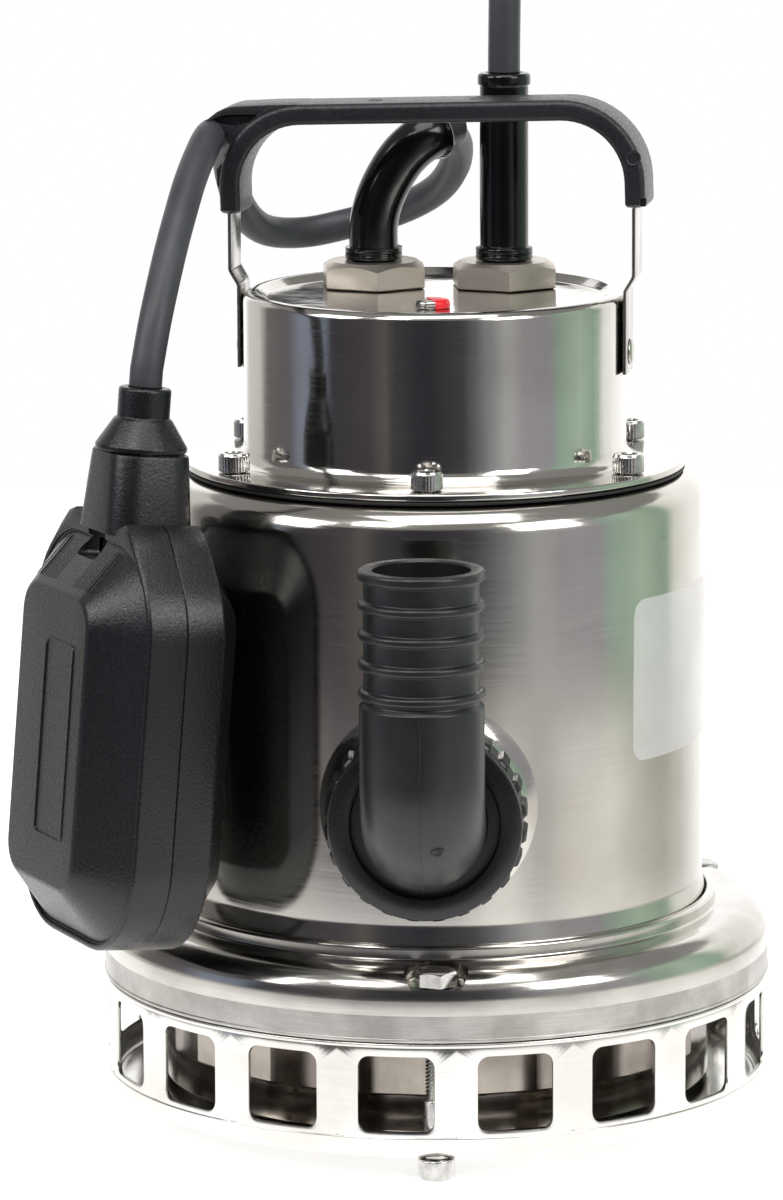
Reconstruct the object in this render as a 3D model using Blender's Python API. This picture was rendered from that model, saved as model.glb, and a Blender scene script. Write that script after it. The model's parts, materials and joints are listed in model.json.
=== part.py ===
"""Submersible sump pump with a float switch, modelled as separate sub-parts.

Units are metres, +Z is up. Inside the model the pump's own axis is the reference: every piece is placed
from it, and the empty "pump_axis" then sets that axis where the part's frame wants it. The outlet points
to -Y. Azimuths are measured from -Y towards +X.
"""
import math

import bmesh
import bpy
from mathutils import Matrix, Vector

# ---- general -----------------------------------------------------------------------------------------
GAP = 0.0003                    # air between two solids that touch
PUMP_AXIS_X = 0.0106            # where the pump's axis stands in the part's frame
PUMP_AXIS_Y = 0.0188
SHELL_STEPS = 32                # sides of the widest turned pieces
MOTOR_STEPS = 18
SMALL_STEPS = 16
TINY_STEPS = 12
HOLE_STEPS = 8

# ---- base --------------------------------------------------------------------------------------------
BOLT_COUNT = 3
FIRST_BOLT_AZIMUTH = 2.0
BOLT_RADIUS = 0.003
BOLT_CLEARANCE = 0.0003
BOLT_HEAD_FLATS = 0.010
BOLT_HEAD_HEIGHT = 0.004
FOOT_RADIUS = 0.00515
FOOT_HEIGHT = 0.0055
FOOT_FLOOR = 0.001              # metal left under the blind thread of a foot
JACKET_FOOT_RADIUS = 0.0745
BASE_STEP = 0.0173              # from the jacket's foot to the strainer's outside
STRAINER_RADIUS = JACKET_FOOT_RADIUS + BASE_STEP
STRAINER_WALL = 0.0012
STRAINER_CORNER = 0.005
BOLT_INSET = 0.0058             # from the strainer's outside to the middle of a tie bolt
BOLT_CIRCLE = STRAINER_RADIUS - BOLT_INSET
SEAM_Z = 0.0376                 # where strainer and base cover meet
WINDOW_COUNT = 18
FIRST_WINDOW_AZIMUTH = 15.3
WINDOW_WIDTH = 0.0205
WINDOW_BOTTOM_Z = 0.0135
WINDOW_TOP_Z = 0.0340
WINDOW_CORNER = 0.003
COVER_LIP = 0.0002              # how far the cover stands out over the strainer
COVER_RADIUS = STRAINER_RADIUS + COVER_LIP
COVER_WALL = 0.0012
COVER_SHOULDER = 0.0078
COVER_TOP_Z = 0.0567
STEP_RING_THICKNESS = 0.0024
STEP_RING_TOP_Z = 0.0605
POCKET_RADIUS = 0.0085
POCKET_FLOOR_Z = 0.0522

# ---- wet end -----------------------------------------------------------------------------------------
CASING_WALL = 0.0015
CASING_BOTTOM_Z = 0.017
CASING_SEAT_Z = 0.044           # ledge on which the outer jacket stands
CASING_LEDGE = 0.002            # width of that ledge
CASING_BORE = JACKET_FOOT_RADIUS - CASING_LEDGE
CASING_CORNER = 0.003
INLET_RADIUS = 0.021
IMPELLER_RADIUS = 0.047
IMPELLER_RUNNING_GAP = 0.0008
IMPELLER_DISC = 0.003
IMPELLER_HUB_RADIUS = 0.0105
IMPELLER_HUB_RISE = 0.0022
VANE_COUNT = 6
VANE_HEIGHT = 0.009
VANE_THICKNESS = 0.0025
VANE_SWEEP = 70.0               # degrees that a vane turns back between hub and rim
IMPELLER_NUT_FLATS = 0.013
IMPELLER_NUT_HEIGHT = 0.0065
SEAL_HEIGHT = 0.005
SEAL_FACE_RADIUS = 0.012
SEAL_SEAT_RADIUS = 0.0135
SEAL_SEAT_HEIGHT = 0.004
OIL_COVER_THICKNESS = 0.0032

# ---- motor -------------------------------------------------------------------------------------------
SHAFT_RADIUS = 0.010            # at the rotor
SHAFT_LOWER_RADIUS = 0.0085     # at the lower bearing
SHAFT_WET_RADIUS = 0.006        # at seal and impeller
SHAFT_THREAD_RADIUS = 0.004
SHAFT_UPPER_RADIUS = 0.006
BEARING_CLEARANCE = 0.0003
HOUSING_RADIUS = 0.062
HOUSING_WALL = 0.0012
HOUSING_FLANGE_THICKNESS = 0.0026
HOUSING_LIP_RADIUS = 0.054
OIL_CHAMBER_HEIGHT = 0.006
BRACKET_PLATE = 0.004
BRACKET_RIM = 0.003
BEARING_HUB_WALL = 0.0045
LOWER_BEARING_RADIUS = 0.020
LOWER_BEARING_HEIGHT = 0.012
UPPER_BEARING_RADIUS = 0.016
UPPER_BEARING_HEIGHT = 0.010
CORE_BOTTOM_Z = 0.090
CORE_HEIGHT = 0.060
ROTOR_RADIUS = 0.033
AIR_GAP = 0.0008
WINDING_INNER_RADIUS = 0.036
WINDING_AIR = 0.005             # from the end windings to the housing's outside
WINDING_OUTER_RADIUS = HOUSING_RADIUS - WINDING_AIR
WINDING_HEIGHT = 0.018
WINDING_ROUNDING = 0.005
TERMINAL_PLATE = 0.002
CAPACITOR_RADIUS = 0.0175
CAPACITOR_HEIGHT = 0.032
CAPACITOR_X = -0.012
CAPACITOR_Y = -0.022

# ---- outer shell -------------------------------------------------------------------------------------
JACKET_WAIST_RADIUS = 0.0735
JACKET_RADIUS = 0.0742
JACKET_WALL = 0.0012
JACKET_FOOT_Z = 0.0590
JACKET_WAIST_Z = 0.0650
JACKET_SHOULDER = 0.008
JACKET_TOP_Z = 0.1770
GASKET_THICKNESS = 0.0009
GASKET_INSET = 0.0006           # between gasket and screws
FLANGE_THICKNESS = 0.0018
CAP_RADIUS = 0.0523
CAP_WALL = 0.0012
CAP_FILLET = 0.004
CAP_CREST_Z = 0.2260
CAP_RIM_ROUNDING = 0.0025
RECESS_RADIUS = 0.0465
RECESS_DEPTH = 0.002
RECESS_FLOOR_Z = CAP_CREST_Z - RECESS_DEPTH
SCREW_COUNT = 6
SCREW_OFFSET = 0.0089           # from the cap's wall to the middle of a cover screw
SCREW_CIRCLE = CAP_RADIUS + SCREW_OFFSET
FLANGE_EDGE = 0.0073            # metal outside the screws' circle
FLANGE_RADIUS = SCREW_CIRCLE + FLANGE_EDGE
HOUSING_FLANGE_EDGE = 0.0053
HOUSING_FLANGE_RADIUS = SCREW_CIRCLE + HOUSING_FLANGE_EDGE
SCREW_RADIUS = 0.0025
SCREW_HEAD_RADIUS = 0.00425
SCREW_HEAD_HEIGHT = 0.005
SCREW_SOCKET_FLATS = 0.004
SCREW_SOCKET_DEPTH = 0.0025
VENT_Y = -0.0235
VENT_HEAD_RADIUS = 0.0046
VENT_HEAD_HEIGHT = 0.0022
VENT_SHANK_RADIUS = 0.0023
VENT_SHANK_LENGTH = 0.0045
VENT_SLOT = 0.0012

# ---- cable entries -----------------------------------------------------------------------------------
CORD_RADIUS = 0.0044
POWER_GLAND_X = 0.0184
FLOAT_GLAND_X = -0.0176
GLAND_Y = 0.0223
GLAND_FLATS = 0.027
GLAND_HEIGHT = 0.0070
GLAND_CHAMFER = 0.0007
GLAND_TURN = 6.5
GLAND_SPIGOT_RADIUS = 0.0085
GLAND_SPIGOT_LENGTH = 0.0048
BOOT_ROOT_RADIUS = 0.0060
BOOT_RADIUS = 0.00635
BOOT_COLLAR_RADIUS = 0.00745
BOOT_COLLAR_HEIGHT = 0.0035
POWER_BOOT_TOP_Z = 0.283
POWER_BOOT_LIP_RADIUS = 0.0070
POWER_BOOT_LIP_HEIGHT = 0.0035

# ---- outlet ------------------------------------------------------------------------------------------
OUTLET_X = 0.0005
OUTLET_Z = 0.097
STUB_RADIUS = 0.0209
STUB_BORE = 0.016
STUB_ROOT = 0.068               # distances from the pump's axis along the outlet
STUB_END = 0.0865
PORT_SEAL_THICKNESS = 0.0015
ELBOW_RADIUS = 0.0162
ELBOW_BORE = 0.0128
ELBOW_BEND = 0.0175
ELBOW_NUT_AIR = 0.0019          # between the union nut's face and the upright stretch of the elbow
ELBOW_FLANGE_RADIUS = 0.0205
ELBOW_FLANGE_THICKNESS = 0.003
ELBOW_SIDES = 16
TAIL_CORE_RADIUS = 0.015
TAIL_RING_RADIUS = 0.0166
TAIL_RING_THICKNESS = 0.003
TAIL_RING_COUNT = 5
TAIL_RING_PITCH = 0.0077
TAIL_TOP = 0.0715               # hose tail's end above the outlet's axis
NUT_RADIUS = 0.02675
NUT_RIB_DEPTH = 0.0012
NUT_RIB_COUNT = 24
NUT_WIDTH = 0.015
NUT_LIP = 0.003
NUT_OPENING = 0.0195
NUT_CHAMFER = 0.0012

# ---- handle ------------------------------------------------------------------------------------------
HANDLE_TURN = -7.4              # degrees about the pump's axis
HANDLE_TILT = -1.7              # degrees about the handle's own normal
GRIP_HALF_WIDTH = 0.0583
GRIP_THICKNESS = 0.0056
GRIP_DEPTH = 0.020
GRIP_RISE = 0.0518              # top of the grip above the cap's crest
GRIP_LEG_LENGTH = 0.0293
GRIP_TOP_Z = CAP_CREST_Z + GRIP_RISE
GRIP_LEG_END_Z = GRIP_TOP_Z - GRIP_LEG_LENGTH
GRIP_CORNER = 0.0226
GRIP_EDGE = 0.0014
CLIP_PLATE = 0.0025
CLIP_TIP = 0.0619
CLIP_TIP_DROP = 0.001           # how far the clip's tip hangs below its plate
CLIP_AIR = 0.0006               # round the cable in its seat
CLIP_CABLE_U = -0.0603          # centre of the cable seat in the handle's plane
CLIP_CABLE_Z = 0.2678
CLIP_FINGER_DEPTH = 0.006
CLIP_FINGER_Z = 0.2545
CLIP_FINGER_HEIGHT = 0.0065
STRIP_THICKNESS = 0.0010
STRIP_WIDTH = 0.014
STRIP_JOG_TOP_Z = 0.2310
STRIP_JOG_BOTTOM_Z = 0.2270
STRIP_END_Z = 0.2045
RIVET_Z = 0.2100
RIVET_SHANK_RADIUS = 0.0018
RIVET_HEAD_RADIUS = 0.0036
RIVET_HEAD_HEIGHT = 0.0012

# ---- float switch ------------------------------------------------------------------------------------
FLOAT_CENTRE = Vector((-0.0816, -0.0621, 0.1142))
FLOAT_AZIMUTH = -62.0
FLOAT_LEAN = 5.0                # degrees that its top leans towards the pump
FLOAT_WIDTH = 0.078
FLOAT_HEIGHT = 0.110
FLOAT_THICKNESS = 0.043
FLOAT_BAND = 0.022              # thickness of the straight band round the edge
FLOAT_WALL = 0.0022
FLOAT_CORNER = 0.026
LABEL_WIDTH = 0.044
LABEL_HEIGHT = 0.078
LABEL_CORNER = 0.008
NECK_HEIGHT = 0.0212
NECK_WIDTH = 0.030
NECK_DEPTH = 0.024
NECK_TOP_WIDTH = 0.025
NECK_TOP_DEPTH = 0.022
NECK_CORNER = 0.007
FLOAT_NUT_HEIGHT = 0.0082
FLOAT_NUT_RADIUS = 0.0122
FLOAT_COLLAR_RADIUS = 0.0070
FLOAT_COLLAR_HEIGHT = 0.0085
BALL_RADIUS = 0.008
SWITCH_WIDTH = 0.020
SWITCH_DEPTH = 0.010
SWITCH_HEIGHT = 0.012

# ---- cords -------------------------------------------------------------------------------------------
CORD_STEP = 0.018               # spacing of the points along a free cord
LONG_CORD_STEP = 0.025
CORD_STRAIGHT = 0.0044          # straight run at each end of a free cord
COIL_CENTRE = Vector((-0.018, 0.190))
COIL_LAYERS = 4
COIL_TURNS = 9 + 1 / 6          # in all layers together
COIL_MEAN_RADIUS = 0.0745
COIL_AIR = 0.0006               # between neighbouring loops
COIL_POINTS_PER_TURN = 24
PLUG_RADIUS = 0.0195
PLUG_HEIGHT = 0.021
PLUG_ENTRY_Z = 0.0105
PLUG_RELIEF_LENGTH = 0.024
PLUG_RELIEF_RADIUS = 0.0075
PLUG_DISTANCE = 0.074           # from the coil's last point to the plug's centre
PIN_RADIUS = 0.0024
PIN_LENGTH = 0.019
PIN_SPACING = 0.019

# Points through which the free cords run, from the pump's axis.
BOOT_BEND = [(-0.0176, 0.0223, 0.2350), (-0.0175, 0.0223, 0.2415), (-0.0160, 0.0225, 0.2480),
             (-0.0130, 0.0228, 0.2545), (-0.0090, 0.0235, 0.2603), (-0.0040, 0.0250, 0.2645),
             (0.0005, 0.0285, 0.2658)]
LOOP_ROUTE = [(0.0035, 0.0350, 0.2650), (0.0048, 0.0450, 0.2605),
              (0.0035, 0.0560, 0.2535), (-0.0020, 0.0680, 0.2455), (-0.0130, 0.0770, 0.2388),
              (-0.0270, 0.0795, 0.2347), (-0.0400, 0.0755, 0.2325), (-0.0505, 0.0655, 0.2345),
              (-0.0560, 0.0530, 0.2418), (-0.0580, 0.0400, 0.2520), (-0.0584, 0.0290, 0.2612),
              (-0.0585, 0.0180, 0.2672)]
CLIP_POINT = (-0.0598, 0.0078, 0.2678)
DROP_ROUTE = [(-0.0611, -0.0021, 0.2675), (-0.0628, -0.0120, 0.2632),
              (-0.0645, -0.0215, 0.2572), (-0.0658, -0.0310, 0.2498), (-0.0668, -0.0400, 0.2413),
              (-0.0680, -0.0485, 0.2313), (-0.0694, -0.0550, 0.2212), (-0.0716, -0.0586, 0.2140)]
POWER_ROUTE = [(0.0186, 0.0222, 0.3035), (0.0188, 0.0240, 0.3200),
               (0.0186, 0.0320, 0.3360), (0.0182, 0.0450, 0.3460), (0.0178, 0.0620, 0.3495),
               (0.0174, 0.0790, 0.3460), (0.0170, 0.0930, 0.3355), (0.0168, 0.1005, 0.3190),
               (0.0166, 0.1025, 0.3000), (0.0166, 0.1030, 0.2700), (0.0180, 0.1040, 0.2200),
               (0.0250, 0.1065, 0.1700), (0.0370, 0.1120, 0.1200), (0.0510, 0.1220, 0.0780),
               (0.0600, 0.1380, 0.0480), (0.0640, 0.1540, 0.0360)]


# ---- materials ---------------------------------------------------------------------------------------
FINISHES = {
    "polished steel": ((0.62, 0.60, 0.57), 0.18, 1.0),
    "satin steel": ((0.55, 0.53, 0.50), 0.35, 1.0),
    "zinc": ((0.60, 0.60, 0.58), 0.40, 1.0),
    "nickel": ((0.58, 0.54, 0.48), 0.32, 1.0),
    "cast aluminium": ((0.50, 0.50, 0.51), 0.55, 1.0),
    "lamination": ((0.16, 0.16, 0.17), 0.60, 1.0),
    "copper wire": ((0.55, 0.22, 0.08), 0.40, 1.0),
    "black plastic": ((0.020, 0.020, 0.022), 0.50, 0.0),
    "light plastic": ((0.60, 0.58, 0.52), 0.50, 0.0),
    "gasket": ((0.015, 0.015, 0.015), 0.70, 0.0),
    "gloss rubber": ((0.010, 0.010, 0.011), 0.22, 0.0),
    "cable rubber": ((0.045, 0.045, 0.048), 0.65, 0.0),
    "seal ceramic": ((0.70, 0.68, 0.62), 0.30, 0.0),
}


def material(finish):
    """Return the Principled material of a finish, made the first time it is asked for."""
    known = bpy.data.materials.get(finish)
    if known:
        return known
    colour, roughness, metallic = FINISHES[finish]
    made = bpy.data.materials.new(finish)
    made.use_nodes = True
    shader = made.node_tree.nodes["Principled BSDF"]
    shader.inputs["Base Color"].default_value = (*colour, 1.0)
    shader.inputs["Roughness"].default_value = roughness
    shader.inputs["Metallic"].default_value = metallic
    return made


# ---- outlines and helpers ----------------------------------------------------------------------------
def polar(radius, azimuth, z=0.0):
    """Point at an azimuth in degrees, measured from -Y towards +X."""
    angle = math.radians(azimuth)
    return Vector((radius * math.sin(angle), -radius * math.cos(angle), z))


def arc(centre_a, centre_b, radius, start, end, steps):
    """Points on an arc in a plane, angles in degrees, both ends included."""
    angles = [math.radians(start + (end - start) * i / steps) for i in range(steps + 1)]
    return [(centre_a + radius * math.cos(a), centre_b + radius * math.sin(a)) for a in angles]


def circle(radius, count=SMALL_STEPS, first=0.0):
    """Outline of a circle, as (x, y) points, from `first` steps round."""
    angles = [math.tau * (i + first) / count for i in range(count)]
    return [(radius * math.cos(angle), radius * math.sin(angle)) for angle in angles]


def hexagon(flats, count=SMALL_STEPS, turn=0.0):
    """Outline of a hexagon with points shared out evenly by angle, corners included."""
    outline = []
    for i in range(count):
        angle = math.tau * i / count
        within = (angle % (math.pi / 3)) - math.pi / 6
        radius = flats / 2 / math.cos(within)
        outline.append((radius * math.cos(angle + turn), radius * math.sin(angle + turn)))
    return outline


def rounded_rectangle(width, height, corner, corner_steps=4):
    """Outline of a rectangle with round corners, as (x, y) points."""
    a = width / 2 - corner
    b = height / 2 - corner
    outline = []
    for x, y, start in ((a, b, 0), (-a, b, 90), (-a, -b, 180), (a, -b, 270)):
        outline += arc(x, y, corner, start, start + 90, corner_steps)
    return outline


def at_height(outline, z):
    """Lift an (x, y) outline to a height."""
    return [Vector((x, y, z)) for x, y in outline]


def add_loft(bm, rings, closed=False):
    """Bridge rings of equal length into bm; the ends are capped unless the last ring meets the first."""
    loops = [[bm.verts.new(point) for point in ring] for ring in rings]
    pairs = list(zip(loops, loops[1:]))
    if closed:
        pairs.append((loops[-1], loops[0]))
    for lower, upper in pairs:
        for i, vertex in enumerate(lower):
            after = (i + 1) % len(lower)
            bm.faces.new((vertex, lower[after], upper[after], upper[i]))
    if not closed:
        bm.faces.new(list(reversed(loops[0])))
        bm.faces.new(loops[-1])


def finish_object(name, bm, finish, parent, sharp=30.0):
    """Turn bm into an object with its material, its parent and smooth shading."""
    bmesh.ops.remove_doubles(bm, verts=bm.verts, dist=1e-6)
    bmesh.ops.recalc_face_normals(bm, faces=bm.faces)
    mesh = bpy.data.meshes.new(name)
    bm.to_mesh(mesh)
    bm.free()
    mesh.shade_smooth()
    mesh.set_sharp_from_angle(angle=math.radians(sharp))
    mesh.materials.append(material(finish))
    made = bpy.data.objects.new(name, mesh)
    bpy.context.collection.objects.link(made)
    made.parent = parent
    return made


def loft(name, rings, finish, parent, closed=False):
    """Object bridged through a list of rings."""
    bm = bmesh.new()
    add_loft(bm, rings, closed)
    return finish_object(name, bm, finish, parent)


def add_turned(bm, profile, steps):
    """Spin (radius, height) points about Z; a profile that leaves the axis free is closed on itself."""
    points = [bm.verts.new((r, 0.0, z)) for r, z in profile]
    edges = [bm.edges.new(pair) for pair in zip(points, points[1:])]
    if profile[0][0] > 0.0:
        edges.append(bm.edges.new((points[-1], points[0])))
    bmesh.ops.spin(bm, geom=points + edges, cent=(0, 0, 0), axis=(0, 0, 1), angle=math.tau, steps=steps,
                   use_merge=True)


def turned(name, profile, finish, parent, steps=MOTOR_STEPS):
    """Object spun from (radius, height) points about its own Z."""
    bm = bmesh.new()
    add_turned(bm, profile, steps)
    return finish_object(name, bm, finish, parent)


def ring_profile(inner, outer, bottom, top):
    """Profile of a plain ring."""
    return [(outer, top), (outer, bottom), (inner, bottom), (inner, top)]


def disc_profile(radius, bottom, top):
    """Profile of a plain disc."""
    return [(0.0, top), (radius, top), (radius, bottom), (0.0, bottom)]


def guide(name, shapes, parent):
    """Object that only cuts or joins others: `shapes` is a list of ring lists."""
    bm = bmesh.new()
    for rings in shapes:
        add_loft(bm, rings)
    made = finish_object(name, bm, "gasket", parent)
    return hide(made)


def hide(tool):
    """Mark an object as a guide that is not part of the model."""
    tool.hide_render = True
    tool.display_type = "WIRE"
    return tool


def combine(target, tool, operation="DIFFERENCE"):
    """Add a Boolean with `tool` to `target`."""
    modifier = target.modifiers.new(tool.name, "BOOLEAN")
    modifier.operation = operation
    modifier.object = tool
    return target


def drill(centre, radius, bottom, top, sides=HOLE_STEPS):
    """Rings of an upright round hole."""
    outline = circle(radius, sides, 0.5)
    return [[Vector((centre.x + x, centre.y + y, z)) for x, y in outline] for z in (bottom, top)]


def spline_points(route, spacing):
    """Evenly spaced points on a smooth curve through `route`, both ends included."""
    knots = [Vector(point) for point in route]
    before = knots[0] * 2 - knots[1]
    after = knots[-1] * 2 - knots[-2]
    padded = [before, *knots, after]
    fine = []
    for i in range(1, len(padded) - 2):
        p0, p1, p2, p3 = padded[i - 1:i + 3]
        for k in range(24):
            t = k / 24
            fine.append(0.5 * (2 * p1 + (p2 - p0) * t + (2 * p0 - 5 * p1 + 4 * p2 - p3) * t ** 2
                               + (3 * p1 - p0 - 3 * p2 + p3) * t ** 3))
    fine.append(knots[-1])
    lengths = [0.0]
    for a, b in zip(fine, fine[1:]):
        lengths.append(lengths[-1] + (b - a).length)
    count = max(2, round(lengths[-1] / spacing))
    points = []
    k = 0
    for i in range(count + 1):
        wanted = lengths[-1] * i / count
        while k < len(fine) - 2 and lengths[k + 1] < wanted:
            k += 1
        share = (wanted - lengths[k]) / (lengths[k + 1] - lengths[k])
        points.append(fine[k].lerp(fine[k + 1], min(1.0, share)))
    return points


def direction(start, end):
    """Unit vector from one point towards another."""
    return (Vector(end) - Vector(start)).normalized()


def cord_points(route, spacing, start_heading, end_heading):
    """Evenly spaced points along a cord whose ends run straight in given directions."""
    start = Vector(route[0])
    end = Vector(route[-1])
    middle = [start + start_heading * CORD_STRAIGHT, *route[1:-1], end - end_heading * CORD_STRAIGHT]
    return [start, *spline_points(middle, spacing), end]


def path_length(points):
    """Length of a run of points."""
    return sum((b - a).length for a, b in zip(points, points[1:]))


def cord(name, points, parent, resolution=2):
    """Round cord through points, as a curve with filled caps."""
    curve = bpy.data.curves.new(name, "CURVE")
    curve.dimensions = "3D"
    curve.bevel_depth = CORD_RADIUS
    curve.bevel_resolution = resolution
    curve.use_fill_caps = True
    spline = curve.splines.new("POLY")
    spline.points.add(len(points) - 1)
    for target, point in zip(spline.points, points):
        target.co = (*point, 1.0)
    curve.materials.append(material("cable rubber"))
    made = bpy.data.objects.new(name, curve)
    bpy.context.collection.objects.link(made)
    made.parent = parent
    return made


def heading(centres, i):
    """Direction of a run of points at point i, where neighbours may share a place."""
    here = centres[i]
    ahead = next((c for c in centres[i + 1:] if (c - here).length > 1e-6), here)
    behind = next((c for c in reversed(centres[:i]) if (c - here).length > 1e-6), here)
    return (ahead - behind).normalized()


def swept_rings(stations, sides):
    """Rings square to a run of (centre, radius) stations, carried along without twist."""
    centres = [Vector(centre) for centre, _ in stations]
    rings = []
    side = None
    for i, (_, radius) in enumerate(stations):
        tangent = heading(centres, i)
        if side is None:
            side = tangent.orthogonal()
        side = (side - tangent * side.dot(tangent)).normalized()
        up = tangent.cross(side)
        rings.append([centres[i] + side * x + up * y for x, y in circle(radius, sides)])
    return rings


def empty(name, parent, location=(0, 0, 0), rotation=(0, 0, 0)):
    """Empty that carries a group of pieces; rotation in degrees."""
    made = bpy.data.objects.new(name, None)
    bpy.context.collection.objects.link(made)
    made.parent = parent
    made.location = location
    made.rotation_euler = [math.radians(angle) for angle in rotation]
    return made


# ---- base --------------------------------------------------------------------------------------------
def bolt_places():
    """Axes of the three tie bolts."""
    return [polar(BOLT_CIRCLE, FIRST_BOLT_AZIMUTH + i * 360 / BOLT_COUNT) for i in range(BOLT_COUNT)]


def build_strainer(axis):
    """Pan with a ring of windows, on the three feet."""
    floor_z = FOOT_HEIGHT + GAP
    outer = arc(STRAINER_RADIUS - STRAINER_CORNER, floor_z + STRAINER_CORNER, STRAINER_CORNER, 0, -90, 2)
    inner_corner = STRAINER_CORNER - STRAINER_WALL
    inner = arc(STRAINER_RADIUS - STRAINER_CORNER, floor_z + STRAINER_CORNER, inner_corner, -90, 0, 2)
    profile = [(0.0, floor_z + STRAINER_WALL), *inner, (STRAINER_RADIUS - STRAINER_WALL, SEAM_Z),
               (STRAINER_RADIUS, SEAM_Z), *outer, (0.0, floor_z)]
    strainer = turned("strainer", profile, "polished steel", axis, SHELL_STEPS)
    window = rounded_rectangle(WINDOW_WIDTH, WINDOW_TOP_Z - WINDOW_BOTTOM_Z, WINDOW_CORNER, 1)
    middle = (WINDOW_TOP_Z + WINDOW_BOTTOM_Z) / 2
    cuts = []
    for i in range(WINDOW_COUNT):
        turn = Matrix.Rotation(math.radians(FIRST_WINDOW_AZIMUTH + i * 360 / WINDOW_COUNT), 4, "Z")
        cuts.append([[turn @ Vector((x, -radius, middle + z)) for x, z in window]
                     for radius in (STRAINER_RADIUS - WINDOW_CORNER * 2, STRAINER_RADIUS + WINDOW_CORNER)])
    combine(strainer, guide("window_cutters", cuts, axis))
    holes = [drill(place, BOLT_RADIUS + BOLT_CLEARANCE, 0.0, SEAM_Z / 2) for place in bolt_places()]
    combine(strainer, guide("strainer_hole_cutters", holes, axis))


def build_base_cover(axis):
    """Cover ring with the jacket's step ring and three bolt pockets."""
    bottom = SEAM_Z + GAP
    step_inner = JACKET_FOOT_RADIUS + GAP
    step_outer = step_inner + STEP_RING_THICKNESS
    shoulder_r = COVER_RADIUS - COVER_SHOULDER
    shoulder_z = COVER_TOP_Z - COVER_SHOULDER
    outer = arc(shoulder_r, shoulder_z, COVER_SHOULDER, 90, 0, 3)
    inner = arc(shoulder_r, shoulder_z, COVER_SHOULDER - COVER_WALL, 0, 90, 2)
    round_off = STEP_RING_THICKNESS / 3
    step = [(step_inner, COVER_TOP_Z - COVER_WALL), (step_inner, STEP_RING_TOP_Z),
            (step_outer - round_off, STEP_RING_TOP_Z), (step_outer, STEP_RING_TOP_Z - round_off),
            (step_outer, COVER_TOP_Z)]
    profile = [*step, *outer, (COVER_RADIUS, bottom), (COVER_RADIUS - COVER_WALL, bottom), *inner]
    cover = turned("base_cover", profile, "polished steel", axis, SHELL_STEPS)
    envelope = hide(turned("cover_envelope", [(0.0, COVER_TOP_Z), *outer, (COVER_RADIUS, bottom),
                                              (0.0, bottom)], "gasket", axis, SHELL_STEPS))
    boss_floor = POCKET_FLOOR_Z - COVER_WALL
    places = bolt_places()
    bosses = guide("pocket_bosses", [drill(place, POCKET_RADIUS + COVER_WALL, boss_floor, COVER_TOP_Z
                                           + COVER_WALL, TINY_STEPS) for place in places], axis)
    combine(bosses, envelope, "INTERSECT")
    combine(cover, bosses, "UNION")
    combine(cover, guide("pocket_cutters", [drill(place, POCKET_RADIUS, POCKET_FLOOR_Z, STEP_RING_TOP_Z,
                                                  TINY_STEPS) for place in places], axis))
    combine(cover, guide("cover_hole_cutters", [drill(place, BOLT_RADIUS + BOLT_CLEARANCE, bottom,
                                                      STEP_RING_TOP_Z) for place in places], axis))


def build_tie_bolts(axis):
    """Three hexagon bolts from the base cover down into the round feet."""
    head_z = POCKET_FLOOR_Z + GAP
    head_top = head_z + BOLT_HEAD_HEIGHT
    end_z = FOOT_FLOOR + GAP
    for i, place in enumerate(bolt_places(), 1):
        shank = circle(BOLT_RADIUS, TINY_STEPS)
        head = hexagon(BOLT_HEAD_FLATS, TINY_STEPS)
        rings = [at_height(shank, end_z), at_height(shank, head_z), at_height(head, head_z),
                 at_height(head, head_top)]
        bolt = loft(f"tie_bolt_{i}", rings, "zinc", axis)
        bolt.location = place
        body = circle(FOOT_RADIUS, TINY_STEPS)
        bore = circle(BOLT_RADIUS + BOLT_CLEARANCE, TINY_STEPS)
        rings = [at_height(body, 0.0), at_height(body, FOOT_HEIGHT), at_height(bore, FOOT_HEIGHT),
                 at_height(bore, FOOT_FLOOR)]
        foot = loft(f"foot_nut_{i}", rings, "zinc", axis)
        foot.location = place


# ---- wet end -----------------------------------------------------------------------------------------
VANE_BOTTOM_Z = CASING_BOTTOM_Z + CASING_WALL + IMPELLER_RUNNING_GAP
DISC_BOTTOM_Z = VANE_BOTTOM_Z + VANE_HEIGHT
DISC_TOP_Z = DISC_BOTTOM_Z + IMPELLER_DISC
HUB_TOP_Z = DISC_TOP_Z + IMPELLER_HUB_RISE
SEAL_FACE_Z = HUB_TOP_Z + GAP
SEAL_SEAT_Z = SEAL_FACE_Z + SEAL_HEIGHT + GAP
OIL_COVER_Z = SEAL_SEAT_Z + (SEAL_SEAT_HEIGHT - OIL_COVER_THICKNESS) / 2
OIL_COVER_TOP_Z = OIL_COVER_Z + OIL_COVER_THICKNESS
BRACKET_Z = OIL_COVER_TOP_Z + GAP + OIL_CHAMBER_HEIGHT
LOWER_BEARING_Z = BRACKET_Z + BRACKET_PLATE + GAP
LOWER_BEARING_TOP_Z = LOWER_BEARING_Z + LOWER_BEARING_HEIGHT
CORE_TOP_Z = CORE_BOTTOM_Z + CORE_HEIGHT
HOUSING_TOP_Z = JACKET_TOP_Z - JACKET_WALL - GAP
HOUSING_LIP_Z = HOUSING_TOP_Z - HOUSING_FLANGE_THICKNESS
UPPER_PLATE_TOP_Z = HOUSING_LIP_Z - GAP
UPPER_BEARING_Z = UPPER_PLATE_TOP_Z + GAP
UPPER_BEARING_TOP_Z = UPPER_BEARING_Z + UPPER_BEARING_HEIGHT
HOUSING_BORE = HOUSING_RADIUS - HOUSING_WALL
INSERT_RADIUS = HOUSING_BORE - GAP
FLANGE_BOTTOM_Z = JACKET_TOP_Z + GAP + GASKET_THICKNESS + GAP
FLANGE_TOP_Z = FLANGE_BOTTOM_Z + FLANGE_THICKNESS
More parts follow.
